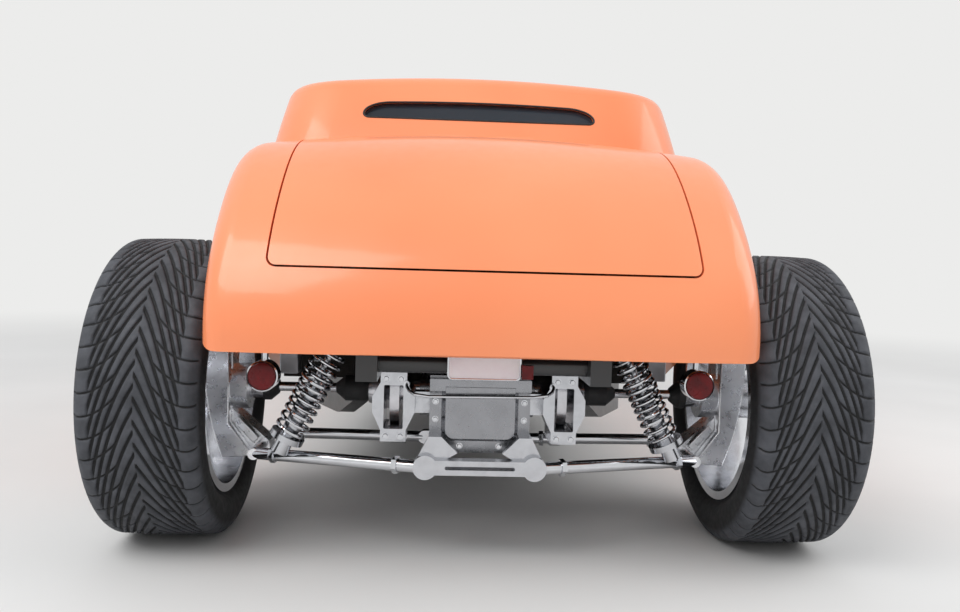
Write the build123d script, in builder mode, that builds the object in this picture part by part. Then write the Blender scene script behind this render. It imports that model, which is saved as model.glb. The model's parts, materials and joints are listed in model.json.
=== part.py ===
from build123d import *
import os
from math import atan2, cos, degrees, hypot, radians, sin, tan

# A fenderless street rod with a lift-off hardtop, seen from behind in its photograph.
# Millimetres, +Z up, +Y forwards, +X to the car's right. The origin is on the ground
# under the middle of the car. Places along the car are given as distances ahead of the
# rear axle and turned into Y by ahead().

os.makedirs("parts", exist_ok=True)

# Overall
WHEELBASE = 2845
TAIL_OVERHANG = 470  # rear axle to the rearmost point of the tail
GAP = 5  # shut line between a moving panel and its opening
SEAT = 0.3  # clearance between curved faces that only seat on each other
WALL = 40  # body side, door and lid, trim included
FIREWALL = 30
HOOD_WALL = 12
ROOF_WALL = 30

# Wheels and tyres
REAR_TYRE_R = 403
REAR_TYRE_W = 295
REAR_TYRE_X = 809.5  # wheel centre plane from the car's centre
REAR_RIM_R = 290
FRONT_TYRE_R = 333
FRONT_TYRE_W = 226
FRONT_TYRE_X = 725
FRONT_RIM_R = 264
SPOKES = 5

REAR_AXLE_Y = TAIL_OVERHANG - (TAIL_OVERHANG + WHEELBASE + FRONT_TYRE_R) / 2


def ahead(distance):
    """Y of a place this far ahead of the rear axle."""
    return REAR_AXLE_Y + distance


FRONT_AXLE_Y = ahead(WHEELBASE)


def side_sketch(points, radius=0, keep_sharp=(), x=0):
    """A closed outline in the side view from (ahead, height) points, rounded but at keep_sharp."""
    with BuildSketch(Plane.YZ.offset(x)) as outline:
        with BuildLine():
            Polyline(*[(ahead(a), z) for a, z in points], close=True)
        make_face()
        if radius:
            sharp = [(ahead(points[i][0]), points[i][1]) for i in keep_sharp]
            fillet(
                [
                    v
                    for v in outline.vertices()
                    if all(hypot(v.X - y, v.Y - z) > 1 for y, z in sharp)
                ],
                radius,
            )
    return outline.sketch


def side_prism(points, width, radius=0, keep_sharp=()):
    """A side-view outline pushed out to both sides, width wide in all."""
    with BuildPart() as prism:
        extrude(side_sketch(points, radius, keep_sharp, -width / 2), amount=width)
    return prism.part


def rod(start, end, radius):
    """A round bar between two points."""
    axis = Vector(*end) - Vector(*start)
    with BuildPart() as bar:
        with BuildSketch(Plane(origin=start, z_dir=axis)):
            Circle(radius)
        extrude(amount=axis.length)
    return bar.part


def block(low, high):
    """A box between two corners."""
    size = [h - l for l, h in zip(low, high)]
    centre = [(h + l) / 2 for l, h in zip(low, high)]
    with BuildPart() as box:
        with Locations(tuple(centre)):
            Box(*size)
    return box.part


# Barrel hinges: a middle barrel on the panel that moves, between two on the one that stays
HINGE_R = 6
HINGE_HALF = 32  # half-length of the middle barrel
HINGE_END = 22  # length of an end barrel
HINGE_LEAF = 16  # width of a leaf, where the barrels stand off the skin


def hinge(centre, along):
    """Middle barrel, end barrels, and the room that each takes out of the other panel."""
    start = Vector(*centre)
    step = Vector(*along)
    inner = HINGE_HALF + SEAT
    outer = inner + HINGE_END

    def barrels(spans, radius):
        return [rod(start + step * low, start + step * high, radius) for low, high in spans]

    return (
        barrels([(-HINGE_HALF, HINGE_HALF)], HINGE_R),
        barrels([(-outer, -inner), (inner, outer)], HINGE_R),
        barrels([(-inner, inner)], HINGE_R + SEAT),
        barrels([(-outer - SEAT, -HINGE_HALF), (HINGE_HALF, outer + SEAT)], HINGE_R + SEAT),
    )


def furthest(solid, origin, direction):
    """How far along a line from origin a solid reaches."""
    hits = solid.find_intersection_points(Axis(origin, direction))
    return max((point - Vector(*origin)).dot(Vector(*direction)) for point, _ in hits)


def write(part, name):
    """Labels a finished piece and writes its STEP file."""
    part.label = name
    export_step(part, f"parts/{name}.step")


# Body envelope. The tail's sections fan about a line through TAIL_PIVOT, from low behind to
# upright, and then run forwards as upright sections to the grille.
TAIL_PIVOT_A = 150
TAIL_PIVOT_Z = 300
FOOT = 60  # height of a section's feet above the pivot line
BELT_SHARE = 0.72  # of the way up a side, where the body is widest
# columns: fan angle, foot, belt and corner half-widths, corner reach, top reach, corner radius
TAIL_SECTIONS = [
    (15, 655, 652, 642, 592, 616, 60),
    (27, 655, 657, 648, 666, 694, 65),
    (38, 655, 662, 652, 704, 734, 70),
    (51, 656, 669, 657, 723, 757, 75),
    (69, 652, 680, 664, 756, 797, 80),
    (90, 646, 692, 670, 788, 834, 85),
]
# columns: ahead, foot, belt and corner half-widths, corner height, top height, corner radius
CABIN_SECTIONS = [
    (520, 636, 696, 670, 1100, 1147, 90),
    (950, 620, 685, 656, 1096, 1142, 90),
    (1400, 586, 644, 610, 1080, 1126, 90),
    (1850, 505, 548, 505, 1044, 1088, 90),
    (2080, 466, 500, 454, 1018, 1063, 90),
]
HOOD_SECTIONS = [
    CABIN_SECTIONS[-2],
    (2500, 396, 412, 360, 968, 1014, 90),
    (3200, 288, 280, 215, 862, 912, 90),
]


def section(plane, foot, belt, corner, foot_v, corner_v, top_v, radius):
    """One closed body section: bulged sides, a crowned top and rounded shoulders."""
    belt_v = foot_v + BELT_SHARE * (corner_v - foot_v)
    with BuildSketch(plane) as outline:
        with BuildLine():
            ThreePointArc((foot, foot_v), (belt, belt_v), (corner, corner_v))
            ThreePointArc((corner, corner_v), (0, top_v), (-corner, corner_v))
            ThreePointArc((-corner, corner_v), (-belt, belt_v), (-foot, foot_v))
            Line((-foot, foot_v), (foot, foot_v))
        make_face()
        fillet(outline.vertices().group_by(Axis.Y)[-1], radius)
    return outline.sketch


def fan_plane(a, z, angle):
    """The plane through a crosswise line at (a, z), angle degrees up from straight back."""
    turn = radians(angle)
    return Plane(
        origin=(0, ahead(a), z), x_dir=(1, 0, 0), z_dir=(0, -sin(turn), -cos(turn))
    )


def cross_plane(a):
    """An upright crosswise plane, its local Y pointing up."""
    return Plane(origin=(0, ahead(a), 0), x_dir=(1, 0, 0), z_dir=(0, -1, 0))


def upright_sections(table, inset, feet):
    """The upright sections of a table, moved in by inset."""
    for a, foot, belt, corner, corner_v, top_v, radius in table:
        add(
            section(
                cross_plane(a),
                foot - inset,
                belt - inset,
                corner - inset,
                TAIL_PIVOT_Z + feet,
                corner_v - inset,
                top_v - inset,
                radius - inset,
            )
        )


def body_envelope(inset):
    """The body from tail to cowl, its skin moved in by inset, as one solid."""
    feet = FOOT - (15 if inset else 0)
    with BuildPart() as envelope:
        for angle, foot, belt, corner, corner_v, top_v, radius in TAIL_SECTIONS:
            add(
                section(
                    fan_plane(TAIL_PIVOT_A, TAIL_PIVOT_Z, angle),
                    foot - inset,
                    belt - inset,
                    corner - inset,
                    feet,
                    corner_v - inset,
                    top_v - inset,
                    radius - inset,
                )
            )
        upright_sections(CABIN_SECTIONS, inset, feet)
        loft()
    return envelope.part


def hood_envelope(inset):
    """The nose from cowl to grille, its skin moved in by inset, as one solid."""
    with BuildPart() as envelope:
        upright_sections(HOOD_SECTIONS, inset, FOOT - (15 if inset else 0))
        loft()
    return envelope.part


body_skin = body_envelope(0)
cabin_space = body_envelope(WALL)
nose_skin = hood_envelope(0)
hood_space = hood_envelope(HOOD_WALL)

# Frame rails
RAIL_T = 50  # thickness of a boxed rail
RAIL_END_A = -400
HORN_A = 3150
RAIL_TOP = 384  # along the cabin
RAIL_BOTTOM = 250
KICK_TOP = 560  # over the rear axle
KICK_BOTTOM = 480
TAIL_EDGE_Z = 548  # lower edge of the tail
RAIL_TOP_LINE = [
    (60, KICK_TOP),
    (420, RAIL_TOP),
    (2050, RAIL_TOP),
    (2700, 430),
    (2920, 430),
]
RAIL_BOTTOM_LINE = [
    (2920, 335),
    (2700, 325),
    (2050, RAIL_BOTTOM),
    (440, RAIL_BOTTOM),
    (20, KICK_BOTTOM),
]
HORN = [(HORN_A, 405), (HORN_A, 345)]
# columns: ahead, outer face of the right rail from the centre
REAR_RAIL_X = 300  # outer face of the right rail over the rear axle
RAIL_PLAN = [
    (RAIL_END_A, REAR_RAIL_X),
    (180, REAR_RAIL_X),
    (640, 548),
    (1500, 548),
    (2250, 462),
    (2850, 365),
    (HORN_A, 350),
]
WIDE = 1600  # wider than the whole car, for cuts right across


def plan_band(thickness):
    """The right rail's plan outline, as a face on the ground plane."""
    outer = [(x, ahead(a)) for a, x in RAIL_PLAN]
    inner = [(x - thickness, y) for x, y in reversed(outer)]
    with BuildSketch() as band:
        with BuildLine():
            Polyline(*outer, *inner, close=True)
        make_face()
        fillet(
            band.vertices().filter_by_position(
                Axis.Y, ahead(RAIL_END_A) + 1, ahead(HORN_A) - 1
            ),
            90,
        )
    return band.sketch


RAIL_OUTLINE = [
    (RAIL_END_A, KICK_BOTTOM),
    (RAIL_END_A, KICK_TOP),
    *RAIL_TOP_LINE,
    *HORN,
    *RAIL_BOTTOM_LINE,
]
TAIL_TUBE_A = -340
SPRING_TUBE = (-200, 618)  # ahead, height of the tube that holds the coil-overs' tops
DIFF_TUBE = (190, 520)  # ahead, height of the tube that the differential hangs from
DIFF_TOP = 470
GEARBOX_CROSS = (1290, 1350)
FRONT_CROSS = (2785, 2905)  # front suspension crossmember, from and to
FRONT_CROSS_TOP = 350
EXHAUST_R = 26
EXHAUST_Z = 325

with BuildPart() as frame:
    add(plan_band(RAIL_T))
    extrude(amount=800)
    add(
        side_prism(RAIL_OUTLINE, WIDE, 70, keep_sharp=(0, 1, 7, 8)), mode=Mode.INTERSECT
    )
    mirror(about=Plane.YZ)
    across = REAR_RAIL_X - 10
    add(rod((-across, ahead(TAIL_TUBE_A), 520), (across, ahead(TAIL_TUBE_A), 520), 24))
    add(
        rod(
            (-390, ahead(SPRING_TUBE[0]), SPRING_TUBE[1]),
            (390, ahead(SPRING_TUBE[0]), SPRING_TUBE[1]),
            20,
        )
    )
    for side in (-1, 1):
        post = (side * (REAR_RAIL_X - RAIL_T / 2), ahead(SPRING_TUBE[0]))
        add(rod((*post, KICK_TOP - 10), (*post, SPRING_TUBE[1]), 18))
    add(
        rod(
            (-across, ahead(DIFF_TUBE[0]), DIFF_TUBE[1]),
            (across, ahead(DIFF_TUBE[0]), DIFF_TUBE[1]),
            28,
        )
    )
    add(
        block(
            (-80, ahead(DIFF_TUBE[0] - 95), DIFF_TOP),
            (80, ahead(DIFF_TUBE[0]), DIFF_TUBE[1] - 12),
        )
    )
    add(
        block(
            (-520, ahead(GEARBOX_CROSS[0]), 262),
            (520, ahead(GEARBOX_CROSS[1]), EXHAUST_Z - EXHAUST_R - SEAT),
        )
    )
    add(
        block(
            (-340, ahead(FRONT_CROSS[0]), 262),
            (340, ahead(FRONT_CROSS[1]), FRONT_CROSS_TOP),
        )
    )
    add(rod((-320, ahead(HORN_A - 35), 376), (320, ahead(HORN_A - 35), 376), 22))

write(frame.part, "frame")

# Trim of the body's lower edge: level at the tail, down ahead of the rear wheel, then along
# the rails.
TRIM = [
    (-700, TAIL_EDGE_Z),
    (60, TAIL_EDGE_Z),
    (440, RAIL_TOP),
    (2050, RAIL_TOP),
    (2700, 430),
    (3200, 430),
    (3200, -50),
    (-700, -50),
]
below_body = side_prism(TRIM, WIDE, 70, keep_sharp=(0, 5, 6, 7))

# Tunnel over the gearbox
TUNNEL_HALF = 185
TUNNEL_TOP = 585


def arch(half, top, low, start, end):
    """A round-topped tunnel along the car."""
    with BuildPart() as tunnel:
        with BuildSketch(cross_plane(end)):
            with BuildLine():
                Polyline((-half, top - half), (-half, low), (half, low), (half, top - half))
                ThreePointArc((half, top - half), (0, top), (-half, top - half))
            make_face()
        extrude(amount=end - start)
    return tunnel.part


# Panel lines
COWL_A = 1880  # hood to cowl line at the top
COWL_LEAN = 45  # the line is this much further forward at the sill
NOSE_A = 2830  # hood to grille shell line at the top
RAKE = 12  # grille, from upright
HOOD_SPLIT_Z = 905  # hood top to hood side line
DOOR_REAR_A = 760
DOOR_FRONT_A = 1450
DOOR_BOTTOM = 450
LID_HALF = 505
LID_LOW = 747
LID_FRONT_A = 175
LID_HINGE_X = 100
HINGE_SUNK = 2  # depth of the lids' hinge lines under the crown of the skin
DOOR_HINGE_Z = (690, 940)
WIDEST_Z = range(700, 900, 20)  # heights among which the body is widest at the doors
COCKPIT = (345, 1480)  # cabin opening in the body, from and to
COCKPIT_HALF = 556
WELL_X = REAR_TYRE_X - REAR_TYRE_W / 2 - 20  # depth of the body's recess beside the tyre
WELL_GAP = 20
TAIL_SIDE_X = 659  # side of the body at its lower edge, beside the rear wheels
TAIL_REAR_A = -471  # back of the body at its lower edge
TAIL_ROLL_A = 40  # the sides' roll ends here, inside the tyres
SIDE_ROLL_R = 44
BACK_ROLL_R = 16
HIGH = 1700


def door_outline(grow):
    """Side view of the right door or, grown by the gap, of its opening."""
    points = [
        (DOOR_REAR_A - grow, DOOR_BOTTOM - grow),
        (DOOR_FRONT_A + grow, DOOR_BOTTOM - grow),
        (DOOR_FRONT_A + grow, HIGH),
        (DOOR_REAR_A - grow, HIGH),
    ]
    return side_sketch(points, 55 + grow, keep_sharp=(2, 3))


def door_prism(grow):
    """The right door's outline pushed through the body's right side."""
    with BuildPart() as prism:
        extrude(door_outline(grow), amount=WIDE / 2)
    return prism.part


def lid_prism(grow):
    """The space of the deck lid: its rear view and its plan, both with rounded corners."""
    half = LID_HALF + grow
    low = LID_LOW - grow
    front = ahead(LID_FRONT_A) + grow
    with BuildPart() as prism:
        with BuildSketch(cross_plane(LID_FRONT_A + 100)) as rear_view:
            with BuildLine():
                Polyline(
                    (-half, HIGH), (-half, low), (half, low), (half, HIGH), close=True
                )
            make_face()
            fillet(rear_view.vertices().group_by(Axis.Y)[0], 20 + grow)
        extrude(amount=900)
        with BuildSketch() as plan:
            with BuildLine():
                Polyline(
                    (-half, front),
                    (half, front),
                    (half, front - 1200),
                    (-half, front - 1200),
                    close=True,
                )
            make_face()
            fillet(plan.vertices().group_by(Axis.Y)[-1], 30 + grow)
        extrude(amount=HIGH, mode=Mode.INTERSECT)
    return prism.part


def cockpit_prism():
    """The cabin's opening in the top of the body."""
    middle = (ahead(COCKPIT[0]) + ahead(COCKPIT[1])) / 2
    with BuildPart() as prism:
        with BuildSketch(Plane.XY.offset(850)):
            with Locations((0, middle)):
                RectangleRounded(2 * COCKPIT_HALF, COCKPIT[1] - COCKPIT[0], 110)
        extrude(amount=600)
    return prism.part


def ahead_of_line(a_top, lean, z_top=1100, z_foot=RAIL_TOP):
    """Everything ahead of a leaning line in the side view, right across the car."""
    slope = lean / (z_top - z_foot)
    points = [
        (a_top + slope * (z_top + 100), -100),
        (a_top + slope * (z_top - HIGH), HIGH),
        (4200, HIGH),
        (4200, -100),
    ]
    return side_prism(points, WIDE)


rake_lean = tan(radians(RAKE)) * (1100 - RAIL_TOP)
hood_front = ahead_of_line(NOSE_A, rake_lean)
ahead_of_cowl = ahead_of_line(COWL_A, COWL_LEAN)
ahead_of_cowl_gap = ahead_of_line(COWL_A + GAP, COWL_LEAN)


def wheel_room(inner_x, radius):
    """The space round both rear tyres, from inner_x outwards."""
    with BuildPart() as room:
        for side in (-1, 1):
            add(
                rod(
                    (side * inner_x, REAR_AXLE_Y, REAR_TYRE_R),
                    (side * 900, REAR_AXLE_Y, REAR_TYRE_R),
                    radius,
                )
            )
    return room.part


with BuildPart() as inside:
    add(cabin_space)
    add(ahead_of_line(COWL_A - FIREWALL, COWL_LEAN), mode=Mode.SUBTRACT)
    add(wheel_room(WELL_X - WALL, REAR_TYRE_R + WELL_GAP + WALL), mode=Mode.SUBTRACT)


def rolled_corner(plane, corner, radius, length):
    """What rounding an outer lower corner takes off, along a straight edge."""
    u, v = corner
    middle = radius * (1 - cos(radians(45)))
    with BuildPart() as cutter:
        with BuildSketch(plane):
            with BuildLine():
                ThreePointArc((u - radius, v), (u - middle, v + middle), (u, v + radius))
                Polyline(
                    (u, v + radius),
                    (u + 100, v + radius),
                    (u + 100, v - 100),
                    (u - radius, v - 100),
                    (u - radius, v),
                )
            make_face()
        extrude(amount=length)
    return cutter.part


# The tail's lower edge is rolled under at the sides and across the back
side_roll = rolled_corner(cross_plane(TAIL_ROLL_A), (TAIL_SIDE_X, TAIL_EDGE_Z), SIDE_ROLL_R, 700)
back_roll = rolled_corner(
    Plane(origin=(WIDE / 2, 0, 0), x_dir=(0, -1, 0), z_dir=(-1, 0, 0)),
    (-ahead(TAIL_REAR_A), TAIL_EDGE_Z),
    BACK_ROLL_R,
    WIDE,
)

with BuildPart() as body_wall:
    add(body_skin)
    add(wheel_room(WELL_X, REAR_TYRE_R + WELL_GAP), mode=Mode.SUBTRACT)
    add(side_roll, mode=Mode.SUBTRACT)
    mirror(side_roll, about=Plane.YZ, mode=Mode.SUBTRACT)
    add(back_roll, mode=Mode.SUBTRACT)
    add(inside.part, mode=Mode.SUBTRACT)
    add(below_body, mode=Mode.SUBTRACT)
    add(ahead_of_cowl, mode=Mode.SUBTRACT)
    add(cockpit_prism(), mode=Mode.SUBTRACT)
    add(arch(TUNNEL_HALF, TUNNEL_TOP, 300, 1750, 2000), mode=Mode.SUBTRACT)

# Deck lid's hinge line, across the car in the gap at the lid's front edge
lid_hinge_y = ahead(LID_FRONT_A + GAP / 2)
lid_hinge_z = furthest(body_skin, (0, lid_hinge_y, 0), (0, 0, 1)) - HINGE_SUNK
LID_HINGES = [
    hinge((x, lid_hinge_y, lid_hinge_z), (1, 0, 0)) for x in (-LID_HINGE_X, LID_HINGE_X)
]

# Right door's hinge line, upright in the gap at its front edge, outside the belt
door_hinge_y = ahead(DOOR_FRONT_A + GAP / 2)
door_hinge_x = SEAT + max(
    furthest(body_skin, (0, door_hinge_y, z), (1, 0, 0)) for z in WIDEST_Z
)
door_hinges = []
for hinge_z in DOOR_HINGE_Z:
    skin_x = min(
        furthest(body_skin, (0, door_hinge_y, hinge_z + reach), (1, 0, 0))
        for reach in (-HINGE_HALF - HINGE_END, HINGE_HALF + HINGE_END)
    )
    barrels = hinge((door_hinge_x, door_hinge_y, hinge_z), (0, 0, 1))
    door_hinges.append((skin_x - HINGE_R, hinge_z, barrels))


def door_leaf(skin_x, side, low, high):
    """A hinge leaf from the skin out to the door's hinge line, behind or ahead of it."""
    edge = door_hinge_y + side * HINGE_LEAF
    return block(
        (skin_x, min(door_hinge_y, edge), low), (door_hinge_x, max(door_hinge_y, edge), high)
    )


with BuildPart() as door_right:
    add(body_wall.part)
    add(door_prism(0), mode=Mode.INTERSECT)
    for skin_x, hinge_z, (middle, ends, middle_room, end_room) in door_hinges:
        add(end_room, mode=Mode.SUBTRACT)
        add(middle)
        add(door_leaf(skin_x, -1, hinge_z - HINGE_HALF, hinge_z + HINGE_HALF))

with BuildPart() as door_left:
    mirror(door_right.part, about=Plane.YZ)

write(door_right.part, "door_right")
write(door_left.part, "door_left")

with BuildPart() as pillar_hinges:
    for skin_x, hinge_z, (middle, ends, middle_room, end_room) in door_hinges:
        add(ends)
        for side in (-1, 1):
            near = hinge_z + side * (HINGE_HALF + SEAT)
            far = near + side * HINGE_END
            add(door_leaf(skin_x, 1, min(near, far), max(near, far)))

with BuildPart() as hinge_room:
    for skin_x, hinge_z, (middle, ends, middle_room, end_room) in door_hinges:
        add(middle_room)

with BuildPart() as body_shell:
    add(body_wall.part)
    opening = door_prism(GAP)
    add(opening, mode=Mode.SUBTRACT)
    mirror(opening, about=Plane.YZ, mode=Mode.SUBTRACT)
    add(lid_prism(GAP), mode=Mode.SUBTRACT)
    add(hinge_room.part, mode=Mode.SUBTRACT)
    mirror(hinge_room.part, about=Plane.YZ, mode=Mode.SUBTRACT)
    add(pillar_hinges.part)
    mirror(pillar_hinges.part, about=Plane.YZ)
    for middle, ends, middle_room, end_room in LID_HINGES:
        add(middle_room, mode=Mode.SUBTRACT)
        add(ends)

write(body_shell.part, "body_shell")

with BuildPart() as deck_lid:
    add(body_wall.part)
    add(lid_prism(0), mode=Mode.INTERSECT)
    for middle, ends, middle_room, end_room in LID_HINGES:
        add(end_room, mode=Mode.SUBTRACT)
        add(middle)

write(deck_lid.part, "deck_lid")

with BuildPart() as hood_wall:
    add(nose_skin)
    add(hood_space, mode=Mode.SUBTRACT)
    add(below_body, mode=Mode.SUBTRACT)
    add(ahead_of_cowl_gap, mode=Mode.INTERSECT)
    add(hood_front, mode=Mode.SUBTRACT)

# Hood's hinge line, across the car in the gap at its front edge
crown_z = furthest(nose_skin, (0, ahead(NOSE_A), 0), (0, 0, 1))
hood_hinge_y = ahead(NOSE_A + tan(radians(RAKE)) * (1100 - crown_z) + GAP / 2)
hood_hinge_z = furthest(nose_skin, (0, hood_hinge_y, 0), (0, 0, 1)) - HINGE_SUNK
hood_hinge = hinge((0, hood_hinge_y, hood_hinge_z), (1, 0, 0))

with BuildPart() as hood_top:
    add(hood_wall.part)
    split(bisect_by=Plane.XY.offset(HOOD_SPLIT_Z), keep=Keep.TOP)
    middle, ends, middle_room, end_room = hood_hinge
    add(end_room, mode=Mode.SUBTRACT)
    add(middle)

with BuildPart() as hood_sides:
    add(hood_wall.part)
    split(bisect_by=Plane.XY.offset(HOOD_SPLIT_Z - GAP), keep=Keep.BOTTOM)

write(hood_top.part, "hood_top")
write(hood_sides.part, "hood_sides")

# Hardtop: lofted between plans, cut by a great sphere for its crown, its top edge rounded
CROWN_R = 4800
CROWN_A = 960
ROOF_TOP = 1395
ROOF_EDGE_R = 75
# columns: height, rear, front, half-width at the rear, middle and front
ROOF_PLANS = [
    (1030, 246, 1630, 676, 671, 554),
    (1200, 325, 1480, 649, 644, 542),
    (1430, 476, 1232, 606, 601, 505),
]
ROOF_REAR_CORNER = 200
ROOF_FRONT_CORNER = 90
REAR_WINDOW = (365, 1213, 52, 58)  # half-width, bottom, height at the shoulders, height
WINDOW_END = (16, 12)  # the quarter ellipse at a lower corner: along, up
WINDOW_SHOULDER = 95  # from the ends in to where the top runs nearly level
WINDSHIELD = (470, 1150, 1308)  # half-width, bottom, top
SIDE_WINDOW = [(745, 900), (1460, 900), (1460, 1128), (1292, 1305), (745, 1305)]
GLASS_T = 5


def roof_solid(inset):
    """The hardtop's outside, moved in by inset, as one solid."""
    with BuildPart() as roof:
        for z, rear, front, rear_half, middle_half, front_half in ROOF_PLANS:
            middle = ahead((rear + front) / 2)
            back = ahead(rear) + inset
            fore = ahead(front) - inset
            with BuildSketch(Plane.XY.offset(z)) as plan:
                with BuildLine():
                    Line((-rear_half + inset, back), (rear_half - inset, back))
                    ThreePointArc(
                        (rear_half - inset, back),
                        (middle_half - inset, middle),
                        (front_half - inset, fore),
                    )
                    Line((front_half - inset, fore), (-front_half + inset, fore))
                    ThreePointArc(
                        (-front_half + inset, fore),
                        (-middle_half + inset, middle),
                        (-rear_half + inset, back),
                    )
                make_face()
                corners = plan.vertices().group_by(Axis.Y)
                fillet(corners[0], ROOF_REAR_CORNER - inset)
                fillet(plan.vertices().group_by(Axis.Y)[-1], ROOF_FRONT_CORNER - inset)
        loft()
        with Locations((0, ahead(CROWN_A), ROOF_TOP - CROWN_R)):
            Sphere(CROWN_R - inset, mode=Mode.INTERSECT)
        fillet(roof.faces().sort_by(Axis.Z)[-1].edges(), ROOF_EDGE_R - inset)
    return roof.part


def quarter(centre, radii, start):
    """A quarter of an ellipse, anticlockwise from an angle of a multiple of 90 degrees."""
    EllipticalCenterArc(centre, abs(radii[0]), abs(radii[1]), start_angle=start, arc_size=90)


def rear_window_prism(shrink):
    """The rear window's slot, flat below and arched above, through the hardtop's back."""
    half, low, shoulder_rise, rise = REAR_WINDOW
    top = low + rise - shrink
    shoulder_top = low + shoulder_rise - shrink
    corner, end_rise = WINDOW_END
    end = low + end_rise
    low += shrink
    half -= shrink
    foot = half - corner
    shoulder = half - WINDOW_SHOULDER
    with BuildPart() as prism:
        with BuildSketch(cross_plane(900)):
            with BuildLine():
                Line((-foot, low), (foot, low))
                quarter((foot, end), (half - foot, low - end), -90)
                quarter((shoulder, end), (half - shoulder, shoulder_top - end), 0)
                ThreePointArc((shoulder, shoulder_top), (0, top), (-shoulder, shoulder_top))
                quarter((-shoulder, end), (half - shoulder, shoulder_top - end), 90)
                quarter((-foot, end), (half - foot, low - end), 180)
            make_face()
        extrude(amount=900)
    return prism.part


def windshield_prism(shrink):
    """The windshield's opening through the hardtop's front."""
    half, low, high = WINDSHIELD
    with BuildPart() as prism:
        with BuildSketch(cross_plane(1700)):
            with Locations((0, (low + high) / 2)):
                RectangleRounded(2 * (half - shrink), high - low - 2 * shrink, 30)
        extrude(amount=700)
    return prism.part


with BuildPart() as hardtop:
    add(roof_solid(0))
    add(roof_solid(ROOF_WALL), mode=Mode.SUBTRACT)
    add(rear_window_prism(0), mode=Mode.SUBTRACT)
    add(windshield_prism(0), mode=Mode.SUBTRACT)
    add(side_prism(SIDE_WINDOW, WIDE, 45, keep_sharp=(0, 1)), mode=Mode.SUBTRACT)
    add(body_skin, mode=Mode.SUBTRACT)

write(hardtop.part, "hardtop")

with BuildPart() as glazing:
    add(roof_solid(ROOF_WALL / 2))
    add(roof_solid(ROOF_WALL / 2 + GLASS_T), mode=Mode.SUBTRACT)

with BuildPart() as windshield_glass:
    add(glazing.part)
    add(windshield_prism(SEAT), mode=Mode.INTERSECT)

with BuildPart() as window_glass:
    add(glazing.part)
    add(rear_window_prism(SEAT), mode=Mode.INTERSECT)
    add(windshield_glass.part)

write(window_glass.part, "window_glass")

# Grille shell, grille bars and radiator
SHELL_DEPTH = 105
SHELL_BOTTOM_Z = 410
SHIELD = (150, 196, 214)  # half-widths at the bottom, middle and top of the grille
SHIELD_LOW = -215  # bottom, side top and arch top from the grille's middle, up the rake
SHIELD_SIDE = 165
SHIELD_TOP = 205
SHIELD_Z = 655
BARS = 19
BAR_W = 7
BAR_D = 16
RIM_T = 7

rake = radians(RAKE)
FACE_A = NOSE_A + SHELL_DEPTH + tan(rake) * (1100 - SHIELD_Z)


def grille_plane(back=0):
    """The grille's face or a plane behind it, local Y pointing up the rake."""
    return Plane(
        origin=(0, ahead(FACE_A) - back * cos(rake), SHIELD_Z - back * sin(rake)),
        x_dir=(-1, 0, 0),
        z_dir=(0, cos(rake), sin(rake)),
    )


def shield_face(shrink):
    """The grille's outline, narrower below and arched on top, moved in by shrink."""
    bottom, middle, top = [half - shrink for half in SHIELD]
    low = SHIELD_LOW + shrink
    side = SHIELD_SIDE - shrink
    with BuildSketch() as shield:
        with BuildLine():
            Line((-bottom, low), (bottom, low))
            ThreePointArc((bottom, low), (middle, 0), (top, side))
            ThreePointArc((top, side), (0, SHIELD_TOP - shrink), (-top, side))
            ThreePointArc((-top, side), (-middle, 0), (-bottom, low))
        make_face()
        fillet(shield.vertices(), 40 - shrink)
    return shield.sketch


with BuildPart() as grille_shell:
    add(nose_skin)
    add(ahead_of_line(NOSE_A + GAP, rake_lean), mode=Mode.INTERSECT)
    add(ahead_of_line(NOSE_A + SHELL_DEPTH, rake_lean), mode=Mode.SUBTRACT)
    split(bisect_by=Plane.XY.offset(SHELL_BOTTOM_Z), keep=Keep.TOP)
    front_edges = grille_shell.faces().sort_by(Axis.Y)[-1].outer_wire().edges()
    fillet(front_edges, 24)
    with BuildSketch(grille_plane(SHELL_DEPTH + 60)):
        add(shield_face(0))
    extrude(amount=SHELL_DEPTH + 80, mode=Mode.SUBTRACT)
    # seats over the frame rails
    add(frame.part, mode=Mode.SUBTRACT)
    middle, ends, middle_room, end_room = hood_hinge
    add(middle_room, mode=Mode.SUBTRACT)
    add(ends)

write(grille_shell.part, "grille_shell")

BAR_BACK = 40  # from the shell's face back to the rear of the bars
with BuildSketch() as grille_slots:
    add(shield_face(RIM_T))
    with GridLocations(2 * SHIELD[2] / (BARS + 1), 1, BARS, 1):
        Rectangle(BAR_W, 3 * SHIELD_TOP, mode=Mode.SUBTRACT)

with BuildPart() as grille_bars:
    with BuildSketch(grille_plane(BAR_BACK)):
        add(shield_face(SEAT))
        add(grille_slots.sketch, mode=Mode.SUBTRACT)
    extrude(amount=BAR_D)

write(grille_bars.part, "grille_bars")

RADIATOR = (215, FRONT_CROSS_TOP, 850)  # half-width, bottom, top
with BuildPart() as radiator:
    add(
        block(
            (-RADIATOR[0], ahead(FRONT_CROSS[0]), RADIATOR[1]),
            (RADIATOR[0], ahead(FRONT_CROSS[0] + 45), RADIATOR[2]),
        )
    )

write(radiator.part, "radiator")

# Engine, gearbox and drive shaft
ENGINE = (1960, 2600, 235, 300, 850)  # from, to, half-width, bottom, top
SHAFT_Z = 403
ENGINE_MOUNT_A = 2300

with BuildPart() as engine:
    start, end, half, low, high = ENGINE
    add(block((-half, ahead(start), low), (half, ahead(end), high)))
    chamfer(engine.edges().filter_by(Axis.Y), 60)
    add(
        rod(
            (-430, ahead(ENGINE_MOUNT_A), 340), (430, ahead(ENGINE_MOUNT_A), 340), 22
        )
    )
    add(frame.part, mode=Mode.SUBTRACT)
    engine_solids = engine.solids().sort_by(SortBy.VOLUME)
    add(engine_solids[-1], mode=Mode.REPLACE)

write(engine.part, "engine")

GEARBOX_END_A = 1275
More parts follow.
